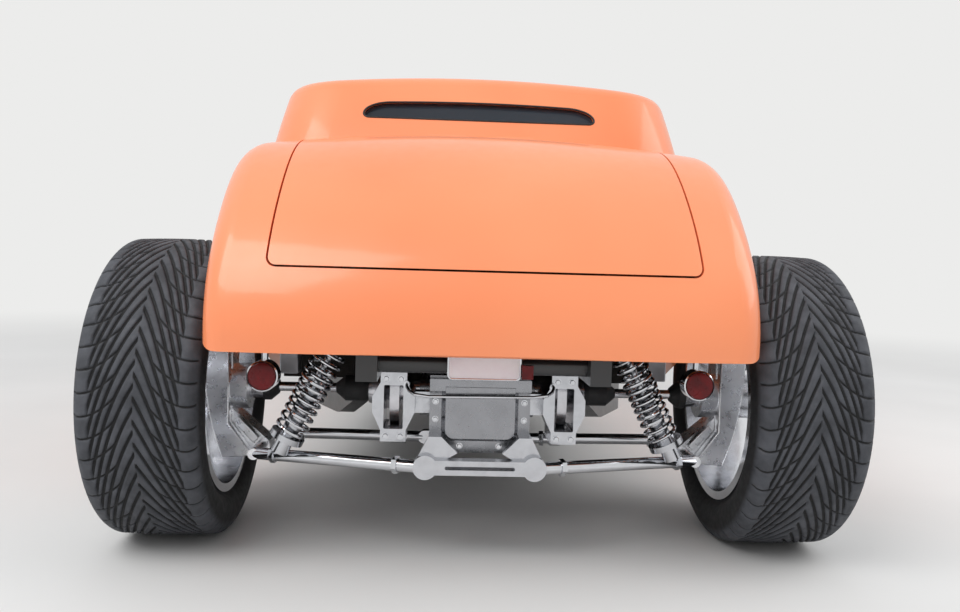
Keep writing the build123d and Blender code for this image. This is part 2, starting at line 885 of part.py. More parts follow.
# columns: ahead, radius of the gearbox
GEARBOX = [(ENGINE[0] - SEAT, 165), (1760, 110), (1420, 100), (GEARBOX_END_A, 55)]
PROP_SHAFT_R = 38
PINION_A = 236

with BuildPart() as gearbox:
    with BuildSketch(Plane.YZ):
        with BuildLine():
            Polyline(
                (ahead(GEARBOX[0][0]), SHAFT_Z),
                *[(ahead(a), SHAFT_Z + r) for a, r in GEARBOX],
                (ahead(GEARBOX_END_A), SHAFT_Z + PROP_SHAFT_R),
                (ahead(PINION_A + SEAT), SHAFT_Z + PROP_SHAFT_R),
                (ahead(PINION_A + SEAT), SHAFT_Z),
                close=True,
            )
        make_face()
    revolve(axis=Axis((0, 0, SHAFT_Z), (0, 1, 0)))
    # mount down to the crossmember
    add(
        block(
            (-45, ahead(GEARBOX_CROSS[0]), EXHAUST_Z - EXHAUST_R - SEAT),
            (45, ahead(GEARBOX_CROSS[1]), SHAFT_Z - 30),
        )
    )

write(gearbox.part, "gearbox")

EXHAUST_X = 300
EXHAUST = (620, 2280)  # from, to
MUFFLER = (700, 1150, 46)  # from, to, radius
with BuildPart() as exhaust:
    x = EXHAUST_X
    add(
        rod((x, ahead(EXHAUST[0]), EXHAUST_Z), (x, ahead(EXHAUST[1]), EXHAUST_Z), EXHAUST_R)
    )
    add(
        rod(
            (x, ahead(MUFFLER[0]), EXHAUST_Z), (x, ahead(MUFFLER[1]), EXHAUST_Z), MUFFLER[2]
        )
    )
    add(rod((x, ahead(EXHAUST[1]), EXHAUST_Z), (235.3, ahead(EXHAUST[1]) + 60, 420), 24))
    add(engine.part, mode=Mode.SUBTRACT)
    mirror(about=Plane.YZ)

write(exhaust.part, "exhaust")

# Floor: a stepped sheet between the body's sides, with a tunnel over the gearbox
FLOOR_T = 6
TRUNK_FLOOR_Z = 655
SEAT_WALL_A = 330
TOE_A = 1760
SHAFT_TUNNEL = (70, 470)  # half-width, top


floor_space = body_envelope(WALL + SEAT)
with BuildPart() as floor_pan:
    low = RAIL_TOP
    outline = [
        (-395, TRUNK_FLOOR_Z),
        (SEAT_WALL_A, TRUNK_FLOOR_Z),
        (SEAT_WALL_A, low),
        (TOE_A, low),
        (COWL_A - FIREWALL + 10, low + 170),
    ]
    upper = [
        (-395, TRUNK_FLOOR_Z + FLOOR_T),
        (SEAT_WALL_A + FLOOR_T, TRUNK_FLOOR_Z + FLOOR_T),
        (SEAT_WALL_A + FLOOR_T, low + FLOOR_T),
        (TOE_A - 3, low + FLOOR_T),
        (COWL_A - FIREWALL + 3, low + 170 + FLOOR_T),
    ]
    extrude(side_sketch(outline + upper[::-1], x=-WIDE / 2), amount=WIDE)
    add(floor_space, mode=Mode.INTERSECT)
    housing_r = REAR_TYRE_R + WELL_GAP + WALL + SEAT
    add(wheel_room(WELL_X - WALL - SEAT, housing_r), mode=Mode.SUBTRACT)
    add(ahead_of_line(COWL_A - FIREWALL - SEAT, COWL_LEAN), mode=Mode.SUBTRACT)
    add(arch(TUNNEL_HALF, TUNNEL_TOP, low - 30, 1180, 1950))
    add(arch(SHAFT_TUNNEL[0], SHAFT_TUNNEL[1], low - 30, SEAT_WALL_A - 4, 1190))
    add(
        arch(TUNNEL_HALF - FLOOR_T, TUNNEL_TOP - FLOOR_T, low - 60, 1186, 1960),
        mode=Mode.SUBTRACT,
    )
    add(
        arch(
            SHAFT_TUNNEL[0] - FLOOR_T,
            SHAFT_TUNNEL[1] - FLOOR_T,
            low - 60,
            SEAT_WALL_A - 20,
            1200,
        ),
        mode=Mode.SUBTRACT,
    )
    add(ahead_of_line(COWL_A - FIREWALL - SEAT, COWL_LEAN), mode=Mode.SUBTRACT)
    split(bisect_by=Plane.XY.offset(RAIL_TOP), keep=Keep.TOP)
    add(frame.part, mode=Mode.SUBTRACT)

write(floor_pan.part, "floor_pan")

# Differential with its polished rear cover, the slotted bar below it and the lower arms
COVER_A = -225  # rear face of the housing
COVER_HALF = 116
COVER_LOW = 292
DIFF_FRONT_A = 150
BELL_END_X = 158
BELL_R = 72


def cover_outline(plane, grow):
    """The differential's outline from behind: flat on top, round below."""
    half = COVER_HALF + grow
    low = COVER_LOW - grow
    with BuildSketch(plane) as outline:
        with BuildLine():
            Polyline(
                (-half, DIFF_TOP + grow / 2),
                (-half, low),
                (half, low),
                (half, DIFF_TOP + grow / 2),
                close=True,
            )
        make_face()
        fillet(outline.vertices().group_by(Axis.Y)[0], 50 + grow)
    return outline.sketch


COVER_BAR = (128, 440, 470)  # half-width, bottom, top of the flat bar over the cover
with BuildPart() as differential:
    extrude(cover_outline(cross_plane(DIFF_FRONT_A), 0), amount=DIFF_FRONT_A - COVER_A)
    split(bisect_by=Plane.XY.offset(DIFF_TOP), keep=Keep.BOTTOM)
    extrude(cover_outline(cross_plane(COVER_A + 8), 12), amount=18)
    extrude(cover_outline(cross_plane(COVER_A - 10), -18), amount=26, taper=22)
    add(
        block(
            (-COVER_BAR[0], ahead(COVER_A - 34), COVER_BAR[1]),
            (COVER_BAR[0], ahead(COVER_A + 8), COVER_BAR[2]),
        )
    )
    add(rod((-BELL_END_X, ahead(0), SHAFT_Z), (BELL_END_X, ahead(0), SHAFT_Z), BELL_R))
    with BuildSketch(Plane(origin=(0, ahead(DIFF_FRONT_A), SHAFT_Z), z_dir=(0, 1, 0))):
        Circle(64)
    with BuildSketch(Plane(origin=(0, ahead(PINION_A), SHAFT_Z), z_dir=(0, 1, 0))):
        Circle(45)
    loft()

write(differential.part, "differential")

# Rear cradle
CRADLE_A = (-318, -284)  # rear bar, from and to
CRADLE_HALF = 165
CRADLE_Z = (229, 289)
CRADLE_BAR_H = 36
GUSSET_X = (96, 128)  # top of a gusset, from and to
GUSSET_TOP = 332
CRADLE_FRONT_A = (150, 180)
FRONT_BAR_Z = 234

with BuildPart() as rear_cradle:
    low, high = CRADLE_Z
    eye = (high - low) / 2
    with BuildSketch(cross_plane(CRADLE_A[1])):
        with Locations((0, low + eye)):
            Rectangle(2 * (CRADLE_HALF - eye), CRADLE_BAR_H)
            with Locations((eye - CRADLE_HALF, 0), (CRADLE_HALF - eye, 0)):
                Circle(eye)
            SlotOverall(1.05 * CRADLE_HALF, 9, mode=Mode.SUBTRACT)
    extrude(amount=CRADLE_A[1] - CRADLE_A[0])
    # gussets up to the cover's lower corners, and the webs that reach forward to it
    for side in (-1, 1):
        with BuildSketch(cross_plane(CRADLE_A[1])):
            with BuildLine():
                Polyline(
                    (side * (CRADLE_HALF - 6), high - 18),
                    (side * GUSSET_X[1], GUSSET_TOP),
                    (side * GUSSET_X[0], GUSSET_TOP),
                    (side * 56, high + 3),
                    (side * 92, high - 18),
                    close=True,
                )
            make_face()
        extrude(amount=14)
        web = (side * GUSSET_X[0], side * GUSSET_X[1])
        add(
            block(
                (min(web), ahead(CRADLE_A[1] - 14), GUSSET_TOP - 24),
                (max(web), ahead(COVER_A - 10), GUSSET_TOP),
            )
        )
    # front bar under the housing
    with BuildSketch(cross_plane(CRADLE_FRONT_A[1])):
        with Locations((0, FRONT_BAR_Z)):
            SlotOverall(2 * CRADLE_HALF, 40)
    extrude(amount=CRADLE_FRONT_A[1] - CRADLE_FRONT_A[0])
    add(
        block(
            (-60, ahead(CRADLE_FRONT_A[0] - 40), FRONT_BAR_Z),
            (60, ahead(CRADLE_FRONT_A[1]), COVER_LOW),
        )
    )
    add(differential.part, mode=Mode.SUBTRACT)

write(rear_cradle.part, "rear_cradle")

# Rear uprights: a curved billet arm inside each wheel, a bearing carrier and a lower shaft
UPRIGHT_D = 70
UPRIGHT_TOP = 556
CARRIER = (668, 780, 62)  # from, to, radius
SPINDLE_R = 34
LOWER_EYE = (588, 245)  # x, z of the lower shaft
LOWER_EYE_A = 150

with BuildPart() as rear_upright_right:
    with BuildSketch(cross_plane(UPRIGHT_D / 2)):
        with BuildLine():
            ThreePointArc((742, UPRIGHT_TOP), (736, 390), (690, 214))
            Polyline(
                (690, 214),
                (604, 222),
                (568, 232),
                (570, 256),
                (672, 344),
                (672, UPRIGHT_TOP),
                (742, UPRIGHT_TOP),
            )
        make_face()
    extrude(amount=UPRIGHT_D)
    add(rod((CARRIER[0] - 40, ahead(0), SHAFT_Z), (CARRIER[1], ahead(0), SHAFT_Z), CARRIER[2]))
    eye_x, eye_z = LOWER_EYE
    add(rod((eye_x, ahead(-LOWER_EYE_A), eye_z), (eye_x, ahead(LOWER_EYE_A), eye_z), 15))
    add(
        rod((600, ahead(0), SHAFT_Z), (800, ahead(0), SHAFT_Z), SPINDLE_R + SEAT),
        mode=Mode.SUBTRACT,
    )

with BuildPart() as rear_uprights:
    add(rear_upright_right.part)
    mirror(about=Plane.YZ)

write(rear_uprights.part, "rear_uprights")

# Lower rear arms: two tubes a side
ARM_R = 16
# columns: inner end's place ahead and height, outer end's place ahead
ARMS = [(-301, 258, -LOWER_EYE_A + 16), (165, FRONT_BAR_Z, LOWER_EYE_A - 16)]
rear_arms = Part()
for a_in, z_in, a_out in ARMS:
    with BuildPart() as arm:
        add(
            rod(
                (CRADLE_HALF - 12, ahead(a_in), z_in),
                (LOWER_EYE[0], ahead(a_out), LOWER_EYE[1]),
                ARM_R,
            )
        )
        add(rear_uprights.part, mode=Mode.SUBTRACT)
        add(rear_cradle.part, mode=Mode.SUBTRACT)
        add(arm.solids().sort_by(SortBy.VOLUME)[-1], mode=Mode.REPLACE)
        mirror(about=Plane.YZ)
    rear_arms += arm.part

write(rear_arms, "rear_arms")

# Rear coil-overs
COIL_LOW = (512, -196, 264)
COIL_HIGH = (342, SPRING_TUBE[0], SPRING_TUBE[1] - 12)
COIL_R = 43
WIRE_R = 6
COILS = 9


def point_between(low, high, share):
    """A point on the line from low to high, a share of the way up."""
    return tuple(l + share * (h - l) for l, h in zip(low, high))


def coilover(low, high):
    """A damper between its two eyes: body, spring seats and rod, with no spring."""
    with BuildPart() as damper:
        add(rod(low, point_between(low, high, 0.5), 22))
        add(rod(point_between(low, high, 0.1), point_between(low, high, 0.14), COIL_R + 2))
        add(rod(point_between(low, high, 0.84), point_between(low, high, 0.89), COIL_R + 2))
        add(rod(low, high, 9))
        add(rod(point_between(low, high, 0.89), high, 16))
    return damper.part


def coil_spring(low, high, turns):
    """A spring as a sleeve whose outside follows its coils, open round the damper."""
    start = Vector(*point_between(low, high, 0.14))
    end = Vector(*point_between(low, high, 0.84))
    length = (end - start).length - 2 * SEAT
    pitch = length / turns
    lie = Plane(origin=start + (end - start).normalized() * SEAT, z_dir=end - start)
    with BuildPart() as spring:
        with BuildSketch(Plane(origin=lie.origin, x_dir=lie.x_dir, z_dir=-lie.y_dir)):
            with BuildLine():
                Line((COIL_R - 2 * WIRE_R, 0), (COIL_R - WIRE_R, 0))
                for turn in range(turns):
                    foot = turn * pitch
                    Line((COIL_R - WIRE_R, foot), (COIL_R, foot + pitch / 2))
                    Line((COIL_R, foot + pitch / 2), (COIL_R - WIRE_R, foot + pitch))
                Polyline(
                    (COIL_R - WIRE_R, length),
                    (COIL_R - 2 * WIRE_R, length),
                    (COIL_R - 2 * WIRE_R, 0),
                )
            make_face()
        revolve(axis=Axis(lie.origin, lie.z_dir))
    return spring.part


def ahead_point(point):
    """A table's (x, ahead, height) as a real point."""
    return (point[0], ahead(point[1]), point[2])


with BuildPart() as rear_coilovers:
    add(coilover(ahead_point(COIL_LOW), ahead_point(COIL_HIGH)))
    add(rear_arms, mode=Mode.SUBTRACT)
    add(frame.part, mode=Mode.SUBTRACT)
    add(rear_coilovers.solids().sort_by(SortBy.VOLUME)[-1], mode=Mode.REPLACE)

# Inboard rear brakes: calipers beside the differential, joined by one thin line
DISC_X = 222
DISC_T = 25
DISC_R = 150
CALIPER = (-192, -62, 295, 475)  # from, to, bottom, top
# half-width and height over the caliper's bottom, from its top down
CALIPER_EDGE = [(34, 180), (34, 154), (55, 117), (55, 77), (33, 30), (33, 0)]
CALIPER_HALF = 55
CALIPER_WINDOW = (50, 114)

with BuildPart() as rear_caliper:
    start, end, low, high = CALIPER
    with BuildSketch(cross_plane(end)):
        with BuildLine():
            Polyline(
                *[(DISC_X + half, low + rise) for half, rise in CALIPER_EDGE],
                *[(DISC_X - half, low + rise) for half, rise in reversed(CALIPER_EDGE)],
                close=True,
            )
        make_face()
        with Locations((DISC_X, (low + high) / 2)):
            RectangleRounded(*CALIPER_WINDOW, 4, mode=Mode.SUBTRACT)
    extrude(amount=end - start)
    # slot for the disc
    add(
        rod(
            (DISC_X - DISC_T / 2 - GAP, ahead(0), SHAFT_Z),
            (DISC_X + DISC_T / 2 + GAP, ahead(0), SHAFT_Z),
            DISC_R + 10,
        ),
        mode=Mode.SUBTRACT,
    )
    # carrier back to the differential's side
    add(
        block(
            (COVER_HALF, ahead(-120), SHAFT_Z - 45),
            (DISC_X - CALIPER_HALF + 14, ahead(-80), SHAFT_Z + 12),
        )
    )
    add(differential.part, mode=Mode.SUBTRACT)

with BuildPart() as rear_calipers:
    add(rear_caliper.part)
    mirror(about=Plane.YZ)

write(rear_calipers.part, "rear_calipers")


# Wheels and tyres: profiles turned about each wheel's own axis
LIP_T = 7
BARREL_T = 9
FLANGE = 13


def radial_plane(centre):
    """Through a wheel's axis: local X out from the car, local Y away from the axis."""
    return Plane(origin=centre, x_dir=(1, 0, 0), z_dir=(0, -1, 0))


def tyre(centre, radius, width, rim_r, rim_half):
    """A tyre for the car's right side, its bead seated on the rim's barrel."""
    bead_r = rim_r - FLANGE + SEAT
    bead = rim_half - LIP_T - SEAT
    tread = width / 2 - 22
    middle = (rim_r + radius) / 2
    with BuildPart() as ring:
        with BuildSketch(radial_plane(centre)):
            with BuildLine():
                Polyline(
                    (-bead, rim_r + 5), (-bead, bead_r), (bead, bead_r), (bead, rim_r + 5)
                )
                ThreePointArc(
                    (bead, rim_r + 5), (width / 2, middle), (tread + 8, radius - 14)
                )
                Line((tread + 8, radius - 14), (tread - 14, radius - 3))
                ThreePointArc(
                    (tread - 14, radius - 3), (0, radius), (-tread + 14, radius - 3)
                )
                Line((-tread + 14, radius - 3), (-tread - 8, radius - 14))
                ThreePointArc(
                    (-tread - 8, radius - 14), (-width / 2, middle), (-bead, rim_r + 5)
                )
            make_face()
        revolve(axis=Axis(centre, (1, 0, 0)))
    return ring.part


def spoke_face(start, end):
    """One spoke along X, waisted between its hub end and its flared rim end."""
    with BuildSketch(mode=Mode.PRIVATE) as spoke:
        with BuildLine():
            Polyline(
                (start, -38),
                (end - 36, -21),
                (end, -46),
                (end, 46),
                (end - 36, 21),
                (start, 38),
                close=True,
            )
        make_face()
    return spoke.sketch


def wheel(centre, rim_r, rim_half, spoke_x, hub_r, hub_span, bore_r):
    """A five-spoke wheel for the right side: barrel with two lips, spokes and hub."""
    with BuildPart() as disc:
        with BuildSketch(radial_plane(centre)):
            with BuildLine():
                Polyline(
                    (-rim_half, rim_r),
                    (-rim_half, rim_r - FLANGE - BARREL_T),
                    (rim_half, rim_r - FLANGE - BARREL_T),
                    (rim_half, rim_r),
                    (rim_half - LIP_T, rim_r),
                    (rim_half - LIP_T, rim_r - FLANGE),
                    (-rim_half + LIP_T, rim_r - FLANGE),
                    (-rim_half + LIP_T, rim_r),
                    close=True,
                )
            make_face()
        revolve(axis=Axis(centre, (1, 0, 0)))
        inner, outer = spoke_x
        face = Plane(
            origin=(centre[0] + inner, centre[1], centre[2]),
            x_dir=(0, 1, 0),
            z_dir=(1, 0, 0),
        )
        reach = rim_r - FLANGE - BARREL_T / 2
        with BuildSketch(face):
            Circle(hub_r)
            spoke = spoke_face(hub_r - 20, reach - 4)
            with PolarLocations(0, SPOKES, start_angle=90):
                add(spoke)
        extrude(amount=outer - inner)
        low, high = hub_span
        add(
            rod(
                (centre[0] + low, centre[1], centre[2]),
                (centre[0] + high, centre[1], centre[2]),
                hub_r - 12,
            )
        )
        if bore_r:
            add(
                rod(
                    (centre[0] + low - 1, centre[1], centre[2]),
                    (centre[0] + inner + 5, centre[1], centre[2]),
                    bore_r,
                ),
                mode=Mode.SUBTRACT,
            )
    return disc.part


REAR_CENTRE = (REAR_TYRE_X, REAR_AXLE_Y, REAR_TYRE_R)
FRONT_CENTRE = (FRONT_TYRE_X, FRONT_AXLE_Y, FRONT_TYRE_R)
REAR_RIM_HALF = 130
FRONT_RIM_HALF = 98
REAR_SPOKES_X = (58, 100)  # back and front of the spokes, out from the wheel's centre plane
FRONT_SPOKES_X = (42, 80)
HUB_R = 80

rear_tyre = tyre(REAR_CENTRE, REAR_TYRE_R, REAR_TYRE_W, REAR_RIM_R, REAR_RIM_HALF)
front_tyre = tyre(FRONT_CENTRE, FRONT_TYRE_R, FRONT_TYRE_W, FRONT_RIM_R, FRONT_RIM_HALF)
rear_wheel = wheel(
    REAR_CENTRE, REAR_RIM_R, REAR_RIM_HALF, REAR_SPOKES_X, HUB_R, (44, 112), 0
)

# Half-shaft with its inboard disc and its spindle, turned about the rear axle line
SHAFT_R = 13
INNER_BOOT = (300, 392, 36)  # from, to, radius
OUTER_BOOT = (550, 590, 38)
HUB_FACE_X = REAR_TYRE_X + 44  # where the spindle's flange meets the wheel's hub
with BuildPart() as half_shaft:
    with BuildSketch(Plane(origin=(0, REAR_AXLE_Y, SHAFT_Z), z_dir=(0, -1, 0), x_dir=(1, 0, 0))):
        with BuildLine():
            Polyline(
                (BELL_END_X + SEAT, 0),
                (BELL_END_X + SEAT, 58),
                (DISC_X - DISC_T / 2, 58),
                (DISC_X - DISC_T / 2, DISC_R),
                (DISC_X + DISC_T / 2, DISC_R),
                (DISC_X + DISC_T / 2, 58),
                (INNER_BOOT[0], 40),
                (INNER_BOOT[0], SHAFT_R),
                (OUTER_BOOT[1], SHAFT_R),
                (OUTER_BOOT[1], SPINDLE_R),
                (CARRIER[1] + GAP, SPINDLE_R),
                (CARRIER[1] + GAP, 60),
                (HUB_FACE_X, 60),
                (HUB_FACE_X, 0),
                close=True,
            )
        make_face()
    revolve(axis=Axis((0, REAR_AXLE_Y, SHAFT_Z), (1, 0, 0)))

# Rubber boots at both ends of the half-shaft
with BuildPart() as boots:
    with BuildSketch(Plane(origin=(0, REAR_AXLE_Y, SHAFT_Z), z_dir=(0, -1, 0), x_dir=(1, 0, 0))):
        with BuildLine():
            start, end, top = INNER_BOOT
            Polyline(
                (start, SHAFT_R + 1),
                (start, top - 4),
                (start + 14, top),
                (end - 26, top),
                (end - 6, SHAFT_R + 6),
                (end, SHAFT_R + 1),
                close=True,
            )
        make_face()
        with BuildLine():
            start, end, top = OUTER_BOOT
            Polyline(
                (start, SHAFT_R + 1),
                (start, SHAFT_R + 6),
                (start + 22, top),
                (end, top),
                (end, SHAFT_R + 1),
                close=True,
            )
        make_face()
    revolve(axis=Axis((0, REAR_AXLE_Y, SHAFT_Z), (1, 0, 0)))

for part, name in (
    (rear_tyre, "rear_tyre"),
    (front_tyre, "front_tyre"),
    (rear_wheel, "rear_wheel"),
    (half_shaft.part, "half_shaft"),
    (boots.part, "shaft_boots"),
):
    with BuildPart() as left:
        mirror(part, about=Plane.YZ)
    write(part, f"{name}_right")
    write(left.part, f"{name}_left")

# Front suspension: arms, uprights that steer, coil-overs and towers
KINGPIN_X = 640
BALL_TOP_Z = 462
BALL_LOW_Z = 205
TIE_ROD_A = -150  # steering arm's eye and the rack, from the front axle
TIE_ROD_Z = 285
FRONT_DISC = (-52, -32, 155)  # faces out from the wheel's centre plane, radius
FRONT_BORE_R = 26
BALL_REACH = 22  # ball joint's centre to the end of the upright
BALL_HALF = 16
STUD_R = 9


def front(a):
    """Y of a place this far ahead of the front axle."""
    return FRONT_AXLE_Y + a


with BuildPart() as front_wheel_part:
    add(
        wheel(
            FRONT_CENTRE,
            FRONT_RIM_R,
            FRONT_RIM_HALF,
            FRONT_SPOKES_X,
            HUB_R,
            (FRONT_DISC[1] - 4, 92),
            FRONT_BORE_R,
        )
    )
    for low, high, radius in ((FRONT_DISC[0], FRONT_DISC[1], FRONT_DISC[2]),):
        add(
            rod(
                (FRONT_TYRE_X + low, FRONT_AXLE_Y, FRONT_TYRE_R),
                (FRONT_TYRE_X + high, FRONT_AXLE_Y, FRONT_TYRE_R),
                radius,
            )
        )
    add(
        rod(
            (FRONT_TYRE_X + FRONT_DISC[0] - 1, FRONT_AXLE_Y, FRONT_TYRE_R),
            (FRONT_TYRE_X + 40, FRONT_AXLE_Y, FRONT_TYRE_R),
            FRONT_BORE_R,
        ),
        mode=Mode.SUBTRACT,
    )

with BuildPart() as knuckle:
    axle_z = FRONT_TYRE_R
    # upright between the two ball joints, with the stub axle
    with BuildSketch(Plane(origin=(0, front(28), 0), x_dir=(1, 0, 0), z_dir=(0, -1, 0))):
        with BuildLine():
            Polyline(
                (KINGPIN_X - 16, BALL_TOP_Z - BALL_REACH),
                (KINGPIN_X + 16, BALL_TOP_Z - BALL_REACH),
                (KINGPIN_X + 26, axle_z),
                (KINGPIN_X + 16, BALL_LOW_Z + BALL_REACH),
                (KINGPIN_X - 16, BALL_LOW_Z + BALL_REACH),
                (KINGPIN_X - 8, axle_z),
                close=True,
            )
        make_face()
    extrude(amount=56)
    hub_end = FRONT_TYRE_X + 38
    add(rod((KINGPIN_X, front(0), axle_z), (hub_end, front(0), axle_z), FRONT_BORE_R - SEAT))
    add(rod((KINGPIN_X - 4, front(0), axle_z), (KINGPIN_X + 27, front(0), axle_z), 52))
    # ball studs that reach the arms' eyes
    stud = (KINGPIN_X, front(0))
    low_end = BALL_LOW_Z + BALL_HALF + SEAT
    high_end = BALL_TOP_Z - BALL_HALF - SEAT
    add(rod((*stud, low_end), (*stud, BALL_LOW_Z + BALL_REACH + 4), STUD_R))
    add(rod((*stud, BALL_TOP_Z - BALL_REACH - 4), (*stud, high_end), STUD_R))
    # steering arm back to the tie rod's eye
    add(
        block(
            (KINGPIN_X - 14, front(TIE_ROD_A - 12), TIE_ROD_Z + 22),
            (KINGPIN_X + 14, front(-20), TIE_ROD_Z + 40),
        )
    )
    # caliper over the front of the disc, on a bracket from the upright
    disc_low = FRONT_TYRE_X + FRONT_DISC[0]
    disc_high = FRONT_TYRE_X + FRONT_DISC[1]
    add(block((disc_low - 28, front(95), axle_z - 45), (disc_high + 28, front(178), axle_z + 75)))
    add(block((KINGPIN_X - 4, front(20), axle_z - 20), (disc_low - 12, front(110), axle_z + 30)))
    add(
        rod(
            (disc_low - GAP, front(0), axle_z),
            (disc_high + GAP, front(0), axle_z),
            FRONT_DISC[2] + 6,
        ),
        mode=Mode.SUBTRACT,
    )
    add(rod((KINGPIN_X, front(0), axle_z), (hub_end, front(0), axle_z), FRONT_BORE_R - SEAT))

PIVOT_R = 17
TOWER_HALF = 58  # half-length of the bracket between the upper arm's bushings
# columns: ball height, inner x, inner height, half-spread inside, tube radius, bushing start
ARM_TABLE = [
    (BALL_LOW_Z, 340 + PIVOT_R + SEAT, 280, 95, 13, 0),
    (BALL_TOP_Z, 397, 452, 80, 12, TOWER_HALF + SEAT),
]
with BuildPart() as front_arms_right:
    for ball_z, inner_x, inner_z, spread, radius, bushing in ARM_TABLE:
        for side in (-1, 1):
            add(
                rod(
                    (inner_x, front(side * spread), inner_z),
                    (KINGPIN_X, front(0), ball_z),
                    radius,
                )
            )
            add(
                rod(
                    (inner_x, front(side * bushing), inner_z),
                    (inner_x, front(side * (spread + 22)), inner_z),
                    PIVOT_R,
                )
            )
        eye = (KINGPIN_X, front(0))
        add(rod((*eye, ball_z - BALL_HALF), (*eye, ball_z + BALL_HALF), 21))
    add(block((500, front(-60), 232), (560, front(60), 246)))
    add(frame.part, mode=Mode.SUBTRACT)

with BuildPart() as front_arms:
    add(front_arms_right.part)
    mirror(about=Plane.YZ)

write(front_arms.part, "front_arms")

FRONT_COIL_LOW = (530, 0, 246)
FRONT_COIL_HIGH = (420, 0, 590)
with BuildPart() as towers:
    # brackets on the rails that carry the upper arms and the coil-overs' tops
    half = TOWER_HALF
    add(block((358, front(-half), 380), (392, front(half), 424)))
    add(block((381, front(-half), 380), (414, front(half), 470)))
    add(block((378, front(-20), 420), (392, front(20), 610)))
    add(block((378, front(-20), 588), (446, front(20), 610)))
    add(front_arms_right.part, mode=Mode.SUBTRACT)
    add(frame.part, mode=Mode.SUBTRACT)
    mirror(about=Plane.YZ)

write(towers.part, "front_towers")

with BuildPart() as front_coilovers:
    add(coilover(*[(x, front(a), z) for x, a, z in (FRONT_COIL_LOW, FRONT_COIL_HIGH)]))
    add(front_arms_right.part, mode=Mode.SUBTRACT)
    add(towers.part, mode=Mode.SUBTRACT)
    add(front_coilovers.solids().sort_by(SortBy.VOLUME)[-1], mode=Mode.REPLACE)

with BuildPart() as coilovers:
    add(rear_coilovers.part)
    add(front_coilovers.part)
    mirror(about=Plane.YZ)

write(coilovers.part, "coilovers")

with BuildPart() as coil_springs:
    add(coil_spring(ahead_point(COIL_LOW), ahead_point(COIL_HIGH), COILS))
    add(
        coil_spring(
            *[(x, front(a), z) for x, a, z in (FRONT_COIL_LOW, FRONT_COIL_HIGH)], COILS
        )
    )
    mirror(about=Plane.YZ)

write(coil_springs.part, "coil_springs")

# Steering: a fixed rack housing, the sliding rack with both tie rods, column and wheel
RACK_R = 12
RACK_HALF = 250
with BuildPart() as rack_housing:
    y = front(TIE_ROD_A)
    add(rod((-RACK_HALF, y, TIE_ROD_Z), (RACK_HALF, y, TIE_ROD_Z), 28))
    for side in (-1, 1):
        add(
            block(
                (side * 180 - 18, y, TIE_ROD_Z - 14),
                (side * 180 + 18, ahead(FRONT_CROSS[0]), TIE_ROD_Z + 14),
            )
        )
    add(
        rod((-RACK_HALF - 9, y, TIE_ROD_Z), (RACK_HALF + 9, y, TIE_ROD_Z), RACK_R + SEAT),
        mode=Mode.SUBTRACT,
    )

write(rack_housing.part, "rack_housing")

with BuildPart() as steering_rack:
    reach = KINGPIN_X
    add(rod((-reach, y, TIE_ROD_Z), (reach, y, TIE_ROD_Z), RACK_R))
    for side in (-1, 1):
        add(rod((side * reach, y, TIE_ROD_Z - 14), (side * reach, y, TIE_ROD_Z + 14), 18))

write(steering_rack.part, "steering_rack")

STEER_X = -330
STEER_A = 1150
STEER_Z = 905
COLUMN_TILT = 24  # degrees, up towards the driver
HUB_END = 75  # where the column's housing starts, down from the wheel's centre
COLUMN_R = 24
COLUMN_BRACKET = 20  # half-width
STEER_R = 170


def along_column(distance):
    """A point this far down the steering column from the wheel's centre."""
    tilt = radians(COLUMN_TILT)
    return (
        STEER_X,
        ahead(STEER_A) + distance * cos(tilt),
        STEER_Z - distance * sin(tilt),
    )


tilt = radians(COLUMN_TILT)
column_axis = (0, -cos(tilt), sin(tilt))
with BuildPart() as steering_wheel:
    face = Plane(origin=along_column(0), x_dir=(1, 0, 0), z_dir=column_axis)
    with BuildSketch(Plane(origin=face.origin, x_dir=(1, 0, 0), z_dir=face.y_dir)):
        with Locations((STEER_R, 0)):
            Circle(14)
    revolve(axis=Axis(face.origin, face.z_dir))
    with BuildSketch(face.offset(-7)):
        Circle(34)
        with PolarLocations(0, 3, start_angle=90):
            with Locations((STEER_R / 2, 0)):
                Rectangle(STEER_R - 8, 34)
    extrude(amount=12)
    add(rod(along_column(0), along_column(HUB_END - SEAT), 20))

write(steering_wheel.part, "steering_wheel")

DASH = (1440, 1500, 890, 1045, 545)  # from, to, bottom, top, half-width
# behind the doors' front edges the dashboard's ends stand clear of the doors' swing
with BuildPart() as door_swing:
    start, end, low, high, half = DASH
    add(block((-640, ahead(start), low), (640, ahead(DOOR_FRONT_A + GAP), high)))
    add(body_envelope(WALL + GAP), mode=Mode.SUBTRACT)

with BuildPart() as dashboard:
    add(block((-640, ahead(start), low), (640, ahead(end), high)))
    add(floor_space, mode=Mode.INTERSECT)
    fillet(dashboard.edges().filter_by(Axis.X).group_by(Axis.Y)[0], 24)
    add(door_swing.part, mode=Mode.SUBTRACT)
    # column down to the toe board, held by a bracket under the dash
    column_end = (end - STEER_A + 260) / cos(tilt)
    add(rod(along_column(HUB_END), along_column(column_end), COLUMN_R))
    hold = along_column((start + 25 - STEER_A) / cos(tilt))
    add(
        block(
            (STEER_X - COLUMN_BRACKET, hold[1] - 20, hold[2]),
            (STEER_X + COLUMN_BRACKET, hold[1] + 20, low + 10),
        )
    )
    add(floor_pan.part, mode=Mode.SUBTRACT)
    add(ahead_of_line(COWL_A - FIREWALL - SEAT, COWL_LEAN), mode=Mode.SUBTRACT)

write(dashboard.part, "dashboard")

